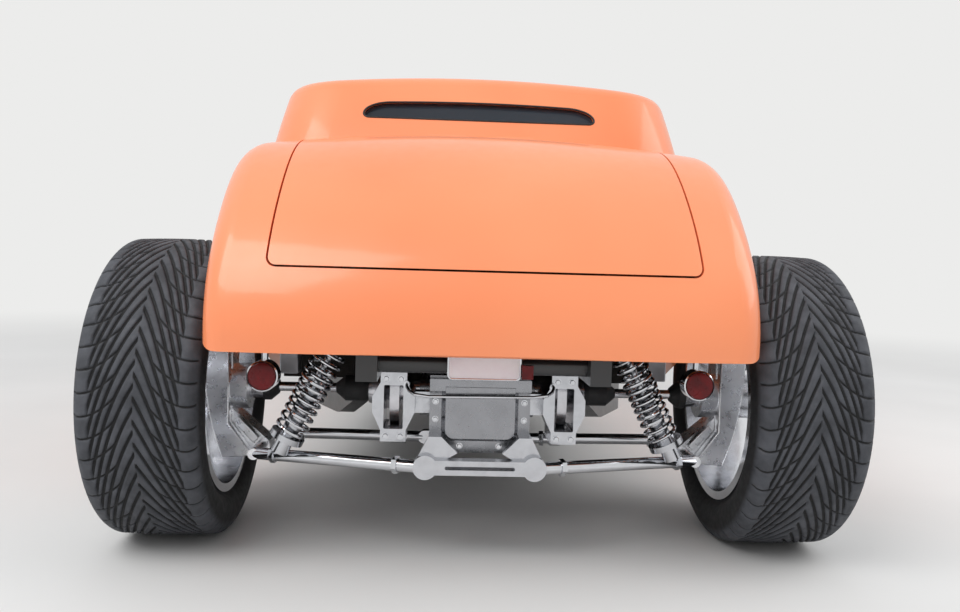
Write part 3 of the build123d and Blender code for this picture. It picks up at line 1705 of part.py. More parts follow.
SEAT_HALF = 480
SEAT_PROFILE = [
    (455, 500),
    (440, 1010),
    (520, 1030),
    (640, 600),
    (1090, 610),
    (1110, 480),
    (1060, 420),
    (600, 400),
]
with BuildPart() as seat:
    add(side_prism(SEAT_PROFILE, 2 * SEAT_HALF, 38))
    # feet on the floor either side of the tunnel
    for side in (-1, 1):
        add(
            block(
                (side * 280 - 170, ahead(620), RAIL_TOP + FLOOR_T),
                (side * 280 + 170, ahead(1040), 440),
            )
        )
    # room for the tunnel
    half, top = SHAFT_TUNNEL
    add(arch(half + GAP, top + GAP, 300, 300, 1200), mode=Mode.SUBTRACT)

write(seat.part, "seat")

# Lamps and plate
PLATE = (170, 96, 491)  # width, height, bottom
PLATE_A = -392
SIDE_LAMP = (88, 114, 495, 527)  # small lamp right of the plate: from, to, bottom, top
TAIL_LAMP = (523, -350, 482)  # x, ahead, height
LAMP_R = 37
LAMP_BAR_Z = 541
LENS_R = 32
with BuildPart() as tail_lamp:
    x, a, z = TAIL_LAMP
    add(rod((x, ahead(a + 30), z), (x, ahead(a - 6), z), LAMP_R))
    add(rod((x, ahead(a + 60), z), (x, ahead(a + 30), z), LAMP_R - 12))
    # stalk up, and in to the frame behind the tail's lower edge
    stalk_a = ahead(a + 22)
    add(rod((x, stalk_a, z), (x, stalk_a, LAMP_BAR_Z), 8))
    add(rod((x + 8, stalk_a, LAMP_BAR_Z), (REAR_RAIL_X - 10, stalk_a, LAMP_BAR_Z), 8))
    add(rod((x, ahead(a - 2), z), (x, ahead(a - 8), z), LENS_R), mode=Mode.SUBTRACT)
    add(frame.part, mode=Mode.SUBTRACT)

with BuildPart() as tail_lamps:
    add(tail_lamp.part)
    mirror(about=Plane.YZ)

with BuildPart() as tail_lenses:
    for side in (-1, 1):
        add(
            rod(
                (side * x, ahead(a - 2), z), (side * x, ahead(a - 12), z), LENS_R - SEAT
            )
        )
    start, end, low, high = SIDE_LAMP
    add(block((start, ahead(PLATE_A - 18), low), (end, ahead(PLATE_A - 2), high)))

write(tail_lamps.part, "tail_lamps")
write(tail_lenses.part, "tail_lenses")

HEADLAMP = (455, 2975, 775)
HEADLAMP_R = 88
with BuildPart() as headlamp:
    x, a, z = HEADLAMP
    with BuildSketch(Plane(origin=(x, ahead(a), z), x_dir=(0, 1, 0), z_dir=(1, 0, 0))):
        with BuildLine():
            Line((-130, 0), (50, 0))
            Line((50, 0), (50, HEADLAMP_R))
            Line((50, HEADLAMP_R), (20, HEADLAMP_R))
            ThreePointArc((20, HEADLAMP_R), (-70, 66), (-130, 0))
        make_face()
    revolve(axis=Axis((x, ahead(a), z), (0, 1, 0)))
    add(rod((x, ahead(a + 40), z), (x, ahead(a + 51), z), HEADLAMP_R - 8), mode=Mode.SUBTRACT)
    add(rod((354, ahead(a), 405), (x, ahead(a), z - 70), 12))
    add(frame.part, mode=Mode.SUBTRACT)

with BuildPart() as headlamps:
    add(headlamp.part)
    mirror(about=Plane.YZ)

with BuildPart() as headlamp_lenses:
    for side in (-1, 1):
        add(
            rod(
                (side * x, ahead(a + 40), z),
                (side * x, ahead(a + 52), z),
                HEADLAMP_R - 8 - SEAT,
            )
        )

write(headlamps.part, "headlamps")
write(headlamp_lenses.part, "headlamp_lenses")

with BuildPart() as rear_plate:
    width, height, low = PLATE
    with BuildSketch(cross_plane(PLATE_A)):
        with Locations((0, low + height / 2)):
            RectangleRounded(width, height, 10)
    extrude(amount=4)
    add(block((-20, ahead(PLATE_A), 505), (20, ahead(TAIL_TUBE_A), 535)))
    # tab that carries the small lamp
    start, end, low, high = SIDE_LAMP
    add(block((width / 2 - 20, ahead(PLATE_A - 2), low + 6), (end, ahead(PLATE_A + 2), high - 6)))
    add(frame.part, mode=Mode.SUBTRACT)

write(rear_plate.part, "rear_plate")

for part, name in ((front_wheel_part.part, "front_wheel"), (knuckle.part, "knuckle")):
    with BuildPart() as left:
        mirror(part, about=Plane.YZ)
    write(part, f"{name}_right")
    write(left.part, f"{name}_left")
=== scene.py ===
"""Street rod roadster: materials, tyres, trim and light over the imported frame.

Metres, in the row's frame: +X right, +Y forward, +Z up, on the floor.
"""
import json
import math

import bmesh
import bpy
import numpy as np
from mathutils import Matrix, Vector
from mathutils.bvhtree import BVHTree

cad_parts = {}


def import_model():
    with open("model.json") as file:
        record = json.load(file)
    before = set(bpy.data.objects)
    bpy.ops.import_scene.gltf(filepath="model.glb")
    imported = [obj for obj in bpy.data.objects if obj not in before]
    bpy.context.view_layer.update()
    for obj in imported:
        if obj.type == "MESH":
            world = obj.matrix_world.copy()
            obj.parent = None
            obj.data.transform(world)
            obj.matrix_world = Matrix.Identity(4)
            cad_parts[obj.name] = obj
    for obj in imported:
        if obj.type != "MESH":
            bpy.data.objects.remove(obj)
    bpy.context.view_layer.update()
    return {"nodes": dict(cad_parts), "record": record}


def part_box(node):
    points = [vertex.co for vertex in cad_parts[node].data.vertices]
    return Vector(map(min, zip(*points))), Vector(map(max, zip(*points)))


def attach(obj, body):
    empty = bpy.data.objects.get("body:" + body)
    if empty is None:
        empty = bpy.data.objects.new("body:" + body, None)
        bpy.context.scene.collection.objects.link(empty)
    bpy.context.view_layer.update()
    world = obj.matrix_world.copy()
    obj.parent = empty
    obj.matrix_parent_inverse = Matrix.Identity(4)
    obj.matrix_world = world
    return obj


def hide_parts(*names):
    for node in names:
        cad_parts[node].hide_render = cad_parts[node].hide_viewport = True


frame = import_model()
NODES = frame["nodes"]

SIDES = (-1, 1)  # left and right
BACK = Vector((0, -1, 0))
FORWARD = Vector((0, 1, 0))


def middle(node):
    """The middle of a node's box."""
    low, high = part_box(node)
    return (low + high) / 2


# Driving places, taken from the frame
REAR_AXLE_Y = middle("rear_tyre_right").y
FRONT_AXLE_Y = middle("front_tyre_right").y

# The photograph's camera
CAMERA_AT = Vector((-0.1017, -3.6792, 0.7678))
CAMERA_YAW = 0.0451
CAMERA_PITCH = -0.054
CAMERA_ROLL = 0.0286
FOCAL_PIXELS = 829.5
IMAGE_WIDTH = 960
SENSOR = 36.0


def linear(red, green, blue):
    """A colour given as 0 to 255 on screen, as Blender's linear numbers."""
    values = []
    for part in (red, green, blue):
        share = part / 255
        if share <= 0.04045:
            values.append(share / 12.92)
        else:
            values.append(((share + 0.055) / 1.055) ** 2.4)
    return (*values, 1.0)


# Materials


class Look:
    """A principled material and short calls for the nodes that feed it."""

    def __init__(self, name, colour, roughness, metallic=0.0):
        self.material = bpy.data.materials.new(name)
        self.material.use_nodes = True
        self.tree = self.material.node_tree
        self.shader = self.tree.nodes["Principled BSDF"]
        self.shader.inputs["Base Color"].default_value = colour
        self.shader.inputs["Roughness"].default_value = roughness
        self.shader.inputs["Metallic"].default_value = metallic
        self.place = self.node("ShaderNodeTexCoord").outputs["Object"]

    def node(self, kind):
        return self.tree.nodes.new(kind)

    def link(self, source, target):
        self.tree.links.new(source, target)

    def noise(self, scale, detail=3.0, stretch=None):
        texture = self.node("ShaderNodeTexNoise")
        texture.inputs["Scale"].default_value = scale
        texture.inputs["Detail"].default_value = detail
        place = self.place
        if stretch:
            mapping = self.node("ShaderNodeMapping")
            mapping.inputs["Scale"].default_value = stretch
            self.link(place, mapping.inputs["Vector"])
            place = mapping.outputs["Vector"]
        self.link(place, texture.inputs["Vector"])
        return texture.outputs["Fac"]

    def spread(self, factor, low, high, start=0.3, end=0.7):
        ramp = self.node("ShaderNodeMapRange")
        ramp.inputs["From Min"].default_value = start
        ramp.inputs["From Max"].default_value = end
        ramp.inputs["To Min"].default_value = low
        ramp.inputs["To Max"].default_value = high
        self.link(factor, ramp.inputs["Value"])
        return ramp.outputs["Result"]

    def colours(self, factor, low, high, start=0.3, end=0.7):
        ramp = self.node("ShaderNodeValToRGB")
        ramp.color_ramp.elements[0].position = start
        ramp.color_ramp.elements[0].color = low
        ramp.color_ramp.elements[1].position = end
        ramp.color_ramp.elements[1].color = high
        self.link(factor, ramp.inputs["Fac"])
        self.link(ramp.outputs["Color"], self.shader.inputs["Base Color"])
        return ramp

    def roughness(self, factor, low, high):
        self.link(self.spread(factor, low, high), self.shader.inputs["Roughness"])

    def bump(self, height, distance, strength=1.0):
        bump = self.node("ShaderNodeBump")
        bump.inputs["Distance"].default_value = distance
        bump.inputs["Strength"].default_value = strength
        self.link(height, bump.inputs["Height"])
        self.link(bump.outputs["Normal"], self.shader.inputs["Normal"])
        return bump

    def math(self, operation, *values):
        """A sum or other operation on sockets and numbers."""
        node = self.node("ShaderNodeMath")
        node.operation = operation
        for slot, value in zip(node.inputs, values):
            if isinstance(value, (int, float)):
                slot.default_value = value
            else:
                self.link(value, slot)
        return node.outputs["Value"]

    def blend(self, factor, low, high):
        """Two colours, each a socket or numbers, mixed by a socket."""
        node = self.node("ShaderNodeMix")
        node.data_type = "RGBA"
        self.link(factor, node.inputs["Factor"])
        for slot, value in ((node.inputs[6], low), (node.inputs[7], high)):
            if isinstance(value, tuple):
                slot.default_value = value
            else:
                self.link(value, slot)
        return node.outputs[2]

    def mix(self, factor, low, high, start, end):
        return self.blend(self.spread(factor, 0.0, 1.0, start, end), low, high)

    def coat(self, weight, roughness):
        self.shader.inputs["Coat Weight"].default_value = weight
        self.shader.inputs["Coat Roughness"].default_value = roughness


PAINT_LIGHT = linear(252, 150, 100)
PAINT_DEEP = linear(247, 138, 86)


def paint(name, light, deep):
    look = Look(name, light, 0.42)
    look.colours(look.noise(1.6, 2.0), deep, light, 0.35, 0.65)
    look.roughness(look.noise(30, 4.0), 0.38, 0.46)
    look.bump(look.noise(260, 2.0), 0.0004, 0.06)
    look.coat(0.55, 0.12)
    return look.material


def metal(name, colour, low, high, grain, stretch=None, bump=0.0):
    """Bare metal: its gloss wanders along the grain of the finish."""
    look = Look(name, colour, low, 1.0)
    darker = tuple(part * 0.9 for part in colour[:3]) + (1.0,)
    look.colours(look.noise(grain / 3, 3.0), darker, colour, 0.3, 0.6)
    look.roughness(look.noise(grain, 4.0, stretch), low, high)
    if bump:
        look.bump(look.noise(grain * 2, 3.0, stretch), bump, 0.4)
    return look.material


# Tread of the tyres: long grooves fall steeply from the middle and side grooves leave them.
# Drops are in pitches down the tyre's rear face, per share of the half tread and its square.
LONG_DROP = (4.2, 3.2)
LONG_END = 0.77
SIDE_START = 0.28
SIDE_END = 1.12
SIDE_DROP = (2.9, -2.25)
SIDE_OFFSET = LONG_DROP[0] * SIDE_START + LONG_DROP[1] * SIDE_START**2
LONG_W = 0.0072
SIDE_W = 0.0046
# columns: drop, share where it leaves, shift in pitches, width, first share, last share
GROOVES = [
    (LONG_DROP, 0.0, 0.0, LONG_W, -0.1, LONG_END),
    (SIDE_DROP, SIDE_START, SIDE_OFFSET, SIDE_W, SIDE_START, SIDE_END),
]
GROOVE_DEPTH = 0.0055
GROOVE_WALL = 0.0012  # half of the width over which a groove's wall falls
GROOVE_SHADE_BLUR = 0.0009  # half of the width over which the painted shade in a groove turns black


def tread_rubber(name, pitch, half):
    """Worn grey blocks, grooves painted black as shade in their recesses and a side wall darkened as
    painted shade; the UV map holds pitches round and share across.
    """
    look = Look(name, linear(62, 62, 66), 0.72)
    place = look.node("ShaderNodeUVMap")
    split = look.node("ShaderNodeSeparateXYZ")
    look.link(place.outputs["UV"], split.inputs["Vector"])
    rounds = split.outputs["X"]
    sideways = split.outputs["Y"]
    share = look.math("ABSOLUTE", sideways)
    offset = look.math("MULTIPLY", look.math("GREATER_THAN", sideways, 0.0), 0.5)
    start = look.math("ADD", rounds, offset)

    def groove(drop, origin, shift, width, first, last):
        reach = look.math("SUBTRACT", share, origin)
        steep = look.math("MULTIPLY_ADD", reach, drop[1], drop[0])
        fall = look.math("MULTIPLY", reach, steep)
        where = look.math("ADD", look.math("ADD", start, fall), shift)
        apart = look.math("PINGPONG", look.math("ADD", where, 0.5), 0.5)
        apart = look.math("SUBTRACT", 0.5, apart)
        slope = look.math("MULTIPLY_ADD", reach, 2 * drop[1] * pitch / half, drop[0] * pitch / half)
        stretch = look.math("SQRT", look.math("MULTIPLY_ADD", slope, slope, 1.0))
        distance = look.math("DIVIDE", look.math("MULTIPLY", apart, pitch), stretch)
        edge = width / 2
        depth = look.spread(distance, 1.0, 0.0, edge - GROOVE_SHADE_BLUR, edge + GROOVE_SHADE_BLUR)
        begins = look.spread(share, 0.0, 1.0, first - 0.01, first + 0.01)
        ends = look.spread(share, 1.0, 0.0, last - 0.02, last + 0.01)
        return look.math("MULTIPLY", depth, look.math("MULTIPLY", begins, ends))

    # how deep the tread lies in the grooves: it sets the bump and the painted shade in the grooves
    depth = look.math("MAXIMUM", *[groove(*row) for row in GROOVES])
    wear = look.noise(22, 4.0)
    block = look.mix(wear, linear(52, 54, 59), linear(76, 78, 84), 0.3, 0.7)
    # the side wall: black rubber, darkened further as painted shade
    wall = look.spread(share, 0.0, 1.0, 1.08, 1.2)
    block = look.blend(wall, block, linear(24, 24, 26))
    # painted shade: the grooves turn near black, darker than the rubber itself
    look.link(look.blend(depth, block, linear(14, 14, 16)), look.shader.inputs["Base Color"])
    look.roughness(look.noise(60, 5.0), 0.62, 0.8)
    height = look.math("SUBTRACT", look.math("MULTIPLY", look.noise(900, 3.0), 0.12), depth)
    look.bump(height, 0.002, 0.5)
    return look.material


def rubber():
    look = Look("boot_rubber", linear(26, 26, 27), 0.6)
    look.colours(look.noise(14, 4.0), linear(20, 20, 21), linear(36, 36, 38))
    look.roughness(look.noise(40, 4.0), 0.5, 0.7)
    look.bump(look.noise(500, 3.0), 0.0005, 0.3)
    return look.material


def window_glass():
    look = Look("tinted_glass", linear(74, 82, 92), 0.06)
    look.colours(look.noise(0.8, 2.0), linear(60, 68, 78), linear(86, 94, 104))
    look.roughness(look.noise(6, 3.0), 0.03, 0.09)
    look.shader.inputs["Transmission Weight"].default_value = 0.55
    look.shader.inputs["IOR"].default_value = 1.3
    return look.material


def lamp_glass():
    look = Look("lamp_glass", linear(240, 244, 246), 0.05)
    look.roughness(look.noise(18, 2.0), 0.02, 0.08)
    flutes = look.node("ShaderNodeTexWave")
    flutes.inputs["Scale"].default_value = 18
    look.link(look.place, flutes.inputs["Vector"])
    look.bump(flutes.outputs["Fac"], 0.002, 0.4)
    look.shader.inputs["Transmission Weight"].default_value = 0.7
    return look.material


def red_lens():
    look = Look("red_lens", linear(104, 3, 10), 0.3)
    look.colours(look.noise(40, 2.0), linear(84, 1, 7), linear(112, 4, 12))
    look.roughness(look.noise(50, 2.0), 0.24, 0.34)
    look.shader.inputs["Specular IOR Level"].default_value = 0.25
    cells = look.node("ShaderNodeTexVoronoi")
    cells.inputs["Scale"].default_value = 260
    look.link(look.place, cells.inputs["Vector"])
    look.bump(cells.outputs["Distance"], 0.0008, 0.35)
    look.coat(0.15, 0.06)
    return look.material


def plate_paint():
    look = Look("plate_paint", linear(244, 236, 240), 0.4)
    look.colours(look.noise(12, 4.0), linear(238, 226, 232), linear(250, 246, 248))
    look.roughness(look.noise(30, 3.0), 0.3, 0.5)
    look.bump(look.noise(90, 2.0), 0.0004, 0.2)
    return look.material


def leather():
    look = Look("leather", linear(196, 172, 140), 0.5)
    look.colours(look.noise(5, 4.0), linear(178, 152, 120), linear(206, 184, 154))
    cells = look.node("ShaderNodeTexVoronoi")
    cells.inputs["Scale"].default_value = 220
    look.link(look.place, cells.inputs["Vector"])
    look.bump(cells.outputs["Distance"], 0.0008, 0.5)
    look.roughness(look.noise(50, 4.0), 0.42, 0.6)
    return look.material


def carpet():
    look = Look("carpet_trim", linear(46, 43, 40), 0.95)
    look.colours(look.noise(400, 4.0), linear(30, 28, 26), linear(58, 54, 50))
    look.bump(look.noise(500, 4.0), 0.003, 0.6)
    return look.material


def cast_iron():
    look = Look("engine_iron", linear(120, 120, 122), 0.55, 0.7)
    look.colours(look.noise(25, 5.0), linear(92, 92, 94), linear(136, 136, 138))
    look.bump(look.noise(240, 4.0), 0.001, 0.5)
    return look.material


def dial_paint():
    look = Look("dial_face", linear(232, 228, 214), 0.45)
    look.colours(look.noise(60, 3.0), linear(222, 216, 198), linear(240, 237, 226))
    look.roughness(look.noise(90, 3.0), 0.35, 0.5)
    return look.material


MATERIALS = {
    "paint": paint("orange_paint", PAINT_LIGHT, PAINT_DEEP),
    # black frame paint, made darker still as painted shade for the frame under the tail
    "frame_paint": paint("frame_paint", linear(30, 30, 32), linear(22, 22, 24)),
    "polished": metal("polished_aluminium", (0.56, 0.57, 0.60, 1.0), 0.14, 0.24, 90),
    "chrome": metal("chrome", (0.66, 0.67, 0.70, 1.0), 0.05, 0.12, 60),
    "tyre": rubber(),
    "rubber": rubber(),
    "glass": window_glass(),
    "lamp_glass": lamp_glass(),
    "red_lens": red_lens(),
    "engine_iron": cast_iron(),
    "steel": metal("brushed_steel", (0.42, 0.42, 0.44, 1.0), 0.28, 0.5, 90, (1, 8, 8), 0.0005),
    "plate_paint": plate_paint(),
    "leather": leather(),
    "trim": carpet(),
}
DIAL = dial_paint()
SHAFT_STEEL = metal("ground_steel", (0.60, 0.60, 0.63, 1.0), 0.14, 0.24, 80)
BILLET = metal("billet", (0.86, 0.87, 0.90, 1.0), 0.24, 0.36, 70)
WHEEL_POLISH = metal("wheel_polish", (0.82, 0.83, 0.86, 1.0), 0.10, 0.20, 60)
# Nodes whose finish is not their slot's own
FINISHES = {
    "differential": metal("cast_cover", (0.33, 0.335, 0.355, 1.0), 0.20, 0.32, 50),
    "rear_uprights": BILLET,
    "rear_wheel_left": WHEEL_POLISH,
    "rear_wheel_right": WHEEL_POLISH,
    "half_shaft_left": SHAFT_STEEL,
    "half_shaft_right": SHAFT_STEEL,
}

for part in frame["record"]["subparts"]:
    for slot in NODES[part["node"]].material_slots:
        slot.material = FINISHES.get(part["node"], MATERIALS[part["material_slot"]])


# Shapes

SHARP_ANGLE = math.radians(38)
# Corners of a block's faces: a corner's number adds 4 for high x, 2 for high y and 1 for high z
BLOCK_FACES = (
    (0, 1, 3, 2),
    (4, 6, 7, 5),
    (0, 4, 5, 1),
    (2, 3, 7, 6),
    (0, 2, 6, 4),
    (1, 5, 7, 3),
)


def across(axis):
    """Two directions at right angles to an axis and to each other."""
    side = axis.orthogonal().normalized()
    return side, axis.cross(side)


def mirrored(point, side):
    """A point of the right side, brought to the side asked for."""
    return Vector((point[0] * side, point[1], point[2]))


def placed(name, data):
    """A new object of the scene that shows the data."""
    piece = bpy.data.objects.new(name, data)
    bpy.context.scene.collection.objects.link(piece)
    return piece


class Shape:
    """Points and faces gathered into one piece of the scene."""

    def __init__(self):
        self.points = []
        self.faces = []

    def ring(self, centre, one, two, radius, sides):
        start = len(self.points)
        for step in range(sides):
            turn = math.tau * (step + 0.5) / sides
            self.points.append(centre + (one * math.cos(turn) + two * math.sin(turn)) * radius)
        return [start + step for step in range(sides)]

    def wall(self, low, high):
        for step in range(len(low)):
            after = (step + 1) % len(low)
            self.faces.append((low[step], low[after], high[after], high[step]))

    def lathe(self, at, axis, profile, sides=24, closed=False):
        """A profile of (along, radius) turned about an axis, with flat ends unless closed."""
        at = Vector(at)
        axis = Vector(axis).normalized()
        one, two = across(axis)
        rings = [self.ring(at + axis * along, one, two, r, sides) for along, r in profile]
        for low, high in zip(rings, rings[1:]):
            self.wall(low, high)
        if closed:
            self.wall(rings[-1], rings[0])
        else:
            self.faces.append(tuple(reversed(rings[0])))
            self.faces.append(tuple(rings[-1]))

    def tube(self, path, radius, sides=10, closed=False):
        """A round bar along a path of points."""
        path = [Vector(point) for point in path]
        count = len(path)
        rings = []
        side = None
        for step, point in enumerate(path):
            before = path[(step - 1) % count] if closed or step else point
            after = path[(step + 1) % count] if closed or step < count - 1 else point
            along = (after - before).normalized()
            if side is None:
                side = along.orthogonal()
            side = (side - along * side.dot(along)).normalized()
            rings.append(self.ring(point, side, along.cross(side), radius, sides))
        for low, high in zip(rings, rings[1:]):
            self.wall(low, high)
        if closed:
            self.wall(rings[-1], rings[0])
        else:
            self.faces.append(tuple(reversed(rings[0])))
            self.faces.append(tuple(rings[-1]))

    def bolt(self, at, axis, radius, height):
        """A washer and a hexagon head with a turned-down edge."""
        self.lathe(at, axis, [(0, radius * 1.25), (height * 0.2, radius * 1.25)], 20)
        at = Vector(at) + Vector(axis).normalized() * height * 0.2
        head = [(0, radius), (height * 0.7, radius), (height * 0.8, radius * 0.86)]
        self.lathe(at, axis, head, 6)

    def block(self, low, high):
        start = len(self.points)
        for x in (low[0], high[0]):
            for y in (low[1], high[1]):
                for z in (low[2], high[2]):
                    self.points.append(Vector((x, y, z)))
        for face in BLOCK_FACES:
            self.faces.append(tuple(start + corner for corner in face))

    def slab(self, outline, y_low, y_high):
        """A rear view (x, height) pushed from one place along Y to another."""
        start = len(self.points)
        count = len(outline)
        for y in (y_low, y_high):
            self.points += [Vector((x, y, z)) for x, z in outline]
        self.faces.append(tuple(range(start, start + count)))
        self.faces.append(tuple(reversed(range(start + count, start + 2 * count))))
        self.wall(
            [start + step for step in range(count)],
            [start + count + step for step in range(count)],
        )

    def build(self, name, material, body, bevel=0.0):
        mesh = bpy.data.meshes.new(name)
        mesh.from_pydata([tuple(point) for point in self.points], [], self.faces)
        piece = placed(name, mesh)
        turn_outwards(mesh)
        mesh.polygons.foreach_set("use_smooth", [True] * len(mesh.polygons))
        mesh.set_sharp_from_angle(angle=SHARP_ANGLE)
        if bevel:
            edge = piece.modifiers.new("bevel", "BEVEL")
            edge.width = bevel
            edge.segments = 2
            edge.limit_method = "ANGLE"
        mesh.materials.append(material)
        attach(piece, body)
        return piece


def turn_outwards(mesh):
    """Makes every face's normal point out."""
    work = bmesh.new()
    work.from_mesh(mesh)
    bmesh.ops.recalc_face_normals(work, faces=work.faces)
    work.to_mesh(mesh)
    work.free()


def arc(first, middle, last, steps):
    """Points on the circle through three points of a plane, last one left out."""
    (ax, ay), (bx, by), (cx, cy) = first, middle, last
    spread = 2 * (ax * (by - cy) + bx * (cy - ay) + cx * (ay - by))
    a2 = ax * ax + ay * ay
    b2 = bx * bx + by * by
    c2 = cx * cx + cy * cy
    ux = (a2 * (by - cy) + b2 * (cy - ay) + c2 * (ay - by)) / spread
    uy = (a2 * (cx - bx) + b2 * (ax - cx) + c2 * (bx - ax)) / spread
    radius = math.hypot(ax - ux, ay - uy)
    start = math.atan2(ay - uy, ax - ux)
    mid = (math.atan2(by - uy, bx - ux) - start) % math.tau
    sweep = (math.atan2(cy - uy, cx - ux) - start) % math.tau
    if mid > sweep:
        sweep -= math.tau
    turns = [start + sweep * step / steps for step in range(steps)]
    return [(ux + radius * math.cos(turn), uy + radius * math.sin(turn)) for turn in turns]


def quarter(centre, radii, start, steps, last=0):
    """Points on a quarter of an ellipse, anticlockwise from a number of degrees."""
    points = []
    for step in range(steps + last):
        turn = math.radians(start + 90 * step / steps)
        points.append((centre[0] + radii[0] * math.cos(turn), centre[1] + radii[1] * math.sin(turn)))
    return points


# Tyres: a turned profile, pressed in along the grooves of the tread

# columns: rim radius, half-width at the bead, pitches round, points round, points across
TYRES = {
    "rear": (0.290, 0.123, 46, 782, 84),
    "front": (0.264, 0.091, 38, 608, 60),
}
CROWN_DROP = 0.003
SHOULDER_IN = 0.036  # where the crown ends, in from the tyre's side
SHOULDER_DROP = 0.045
SHOULDER_SHORT = 0.002  # the shoulder ends this far short of the half-width
SHOULDER_STEPS = 14
TREAD_SHORT = 0.012  # the half tread ends this far short of the half-width
WALL_STEPS = 10
BEAD_OUT = 0.005  # the side wall ends this far out from the rim
BEAD_IN = 0.012  # and the bead this far in from it


def half_profile(radius, half, rim, bead, steps):
    """Points (out from the middle, from the axle) from the crown to the bead."""
    crown_end = half - SHOULDER_IN
    points = []
    for step in range(steps + 1):
        x = crown_end * step / steps
        points.append((x, radius - CROWN_DROP * (x / crown_end) ** 2))
    for step in range(1, SHOULDER_STEPS + 1):
        turn = math.pi / 2 * step / SHOULDER_STEPS
        x = crown_end + (SHOULDER_IN - SHOULDER_SHORT) * math.sin(turn)
        y = radius - CROWN_DROP - (SHOULDER_DROP - CROWN_DROP) * (1 - math.cos(turn))
        points.append((x, y))
    wall_middle = (half, (rim + radius) / 2)
    wall_end = (bead, rim + BEAD_OUT)
    points += arc(points[-1], wall_middle, wall_end, WALL_STEPS)[1:]
    points += [wall_end, (bead, rim - BEAD_IN)]
    return points


def groove_depth(rounds, share, pitch, half):
    """Depth of the tread at pitches round and share across, 0 to 1."""
    start = rounds + (0.5 if share > 0 else 0.0)
    share = abs(share)

    def groove(drop, origin, shift, width, first, last):
        reach = share - origin
        where = start + reach * (drop[0] + reach * drop[1]) + shift
        apart = np.abs(where - np.round(where)) * pitch
        slope = (drop[0] + 2 * drop[1] * reach) * pitch / half
        distance = apart / math.sqrt(1 + slope * slope)
        inside = 1.0 if first <= share <= last else 0.0
        return inside * np.clip((width / 2 + GROOVE_WALL - distance) / (2 * GROOVE_WALL), 0, 1)

    return np.maximum(*[groove(*row) for row in GROOVES])


def tread_points(profile, shares, centre, pitches, count, pitch, tread_half):
    """The tyre's points, one row across the tyre for each point round it."""
    turns = np.arange(count) / count
    cosine = np.cos(math.tau * turns)
    sine = np.sin(math.tau * turns)
    columns = []
    for step, ((x, y), share) in enumerate(zip(profile, shares)):
        depth = groove_depth(turns * pitches, share, pitch, tread_half) * GROOVE_DEPTH
        ahead = profile[min(step + 1, len(profile) - 1)]
        behind = profile[max(step - 1, 0)]
        run = math.hypot(ahead[0] - behind[0], ahead[1] - behind[1])
        column_x = centre.x + x + depth * (ahead[1] - behind[1]) / run
        reach = y - depth * (ahead[0] - behind[0]) / run
        places = [column_x, centre.y - reach * cosine, centre.z + reach * sine]
        columns.append(np.stack(places, axis=1))
    return np.stack(columns, axis=1).reshape(-1, 3)


def tread_mesh(name, points, shares, pitches, count):
    """Quads between the points, with pitches round and share across as their UV map."""
    wide = len(shares)
    one = np.repeat(np.arange(count), wide)
    two = np.tile(np.arange(wide), count)
    corners = ((0, 0), (0, 1), (1, 1), (1, 0))
    quads = [(one + a) % count * wide + (two + b) % wide for a, b in corners]
    mesh = bpy.data.meshes.new(name)
    mesh.from_pydata(points.tolist(), [], np.stack(quads, axis=1).tolist())
    uv = np.zeros((count * wide, 4, 2))
    for corner, (a, b) in enumerate(corners):
        uv[:, corner, 0] = (one + a) / count * pitches
        uv[:, corner, 1] = np.array(shares)[(two + b) % wide]
    layer = mesh.uv_layers.new(name="tread")
    layer.data.foreach_set("uv", uv.reshape(-1).astype(np.float32))
    mesh.polygons.foreach_set("use_smooth", [True] * len(mesh.polygons))
    return mesh


def tyre(node, body, row, pitch, material):
    rim, bead, pitches, count, steps = row
    low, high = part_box(node)
    half = (high.x - low.x) / 2
    tread_half = half - TREAD_SHORT
    right = half_profile((high.z - low.z) / 2, half, rim, bead, steps // 2)
    lengths = [0.0]
    for (ax, ay), (bx, by) in zip(right, right[1:]):
        lengths.append(lengths[-1] + math.hypot(bx - ax, by - ay))
    shares = [length / tread_half for length in lengths]
    shares = [-share for share in reversed(shares[1:])] + shares
    profile = [(-x, y) for x, y in reversed(right[1:])] + right
    points = tread_points(profile, shares, middle(node), pitches, count, pitch, tread_half)
    piece = placed(node + "_treaded", tread_mesh(node + "_treaded", points, shares, pitches, count))
    piece.data.materials.append(material)
    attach(piece, body)
    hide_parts(node)


def tyres():
    """Both tyres of an axle share one material, fitted to their pitch."""
    for end, row in TYRES.items():
        low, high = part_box(end + "_tyre_left")
        pitch = math.pi * (high.z - low.z) / row[2]
        material = tread_rubber(end + "_tread", pitch, (high.x - low.x) / 2 - TREAD_SHORT)
        for hand in ("left", "right"):
            tyre(f"{end}_tyre_{hand}", f"{end}_{hand}_wheel", row, pitch, material)


# Coil springs: one round wire wound about each damper

COIL_R = 0.043
COILS = 12.5
COIL_STEPS = 24  # points in one turn
COIL_SPAN = (0.14, 0.84)  # shares of the damper's length
COIL_EASE = 0.028  # the turns stand a little wider at both ends
WIRE_R = 0.0048
WIRE_SIDES = 9
# columns: low end and high end of a damper on the right side
DAMPERS = [
    ((0.512, REAR_AXLE_Y - 0.196, 0.264), (0.342, REAR_AXLE_Y - 0.200, 0.606)),
    ((0.530, FRONT_AXLE_Y, 0.246), (0.420, FRONT_AXLE_Y, 0.590)),
]


def coil(low, high, side):
    """The middle line of the wire about one damper."""
    axis = (high - low).normalized()
    start = low.lerp(high, COIL_SPAN[0]) + axis * WIRE_R
    end = low.lerp(high, COIL_SPAN[1]) - axis * WIRE_R
    one, two = across(axis)
    steps = int(COILS * COIL_STEPS)
    path = []
    for step in range(steps + 1):
        share = step / steps
        turn = math.tau * COILS * share * side
        eased = share + COIL_EASE * math.sin(math.tau * share)
        wound = (one * math.cos(turn) + two * math.sin(turn)) * (COIL_R - WIRE_R)
        path.append(start.lerp(end, eased) + wound)
    return path


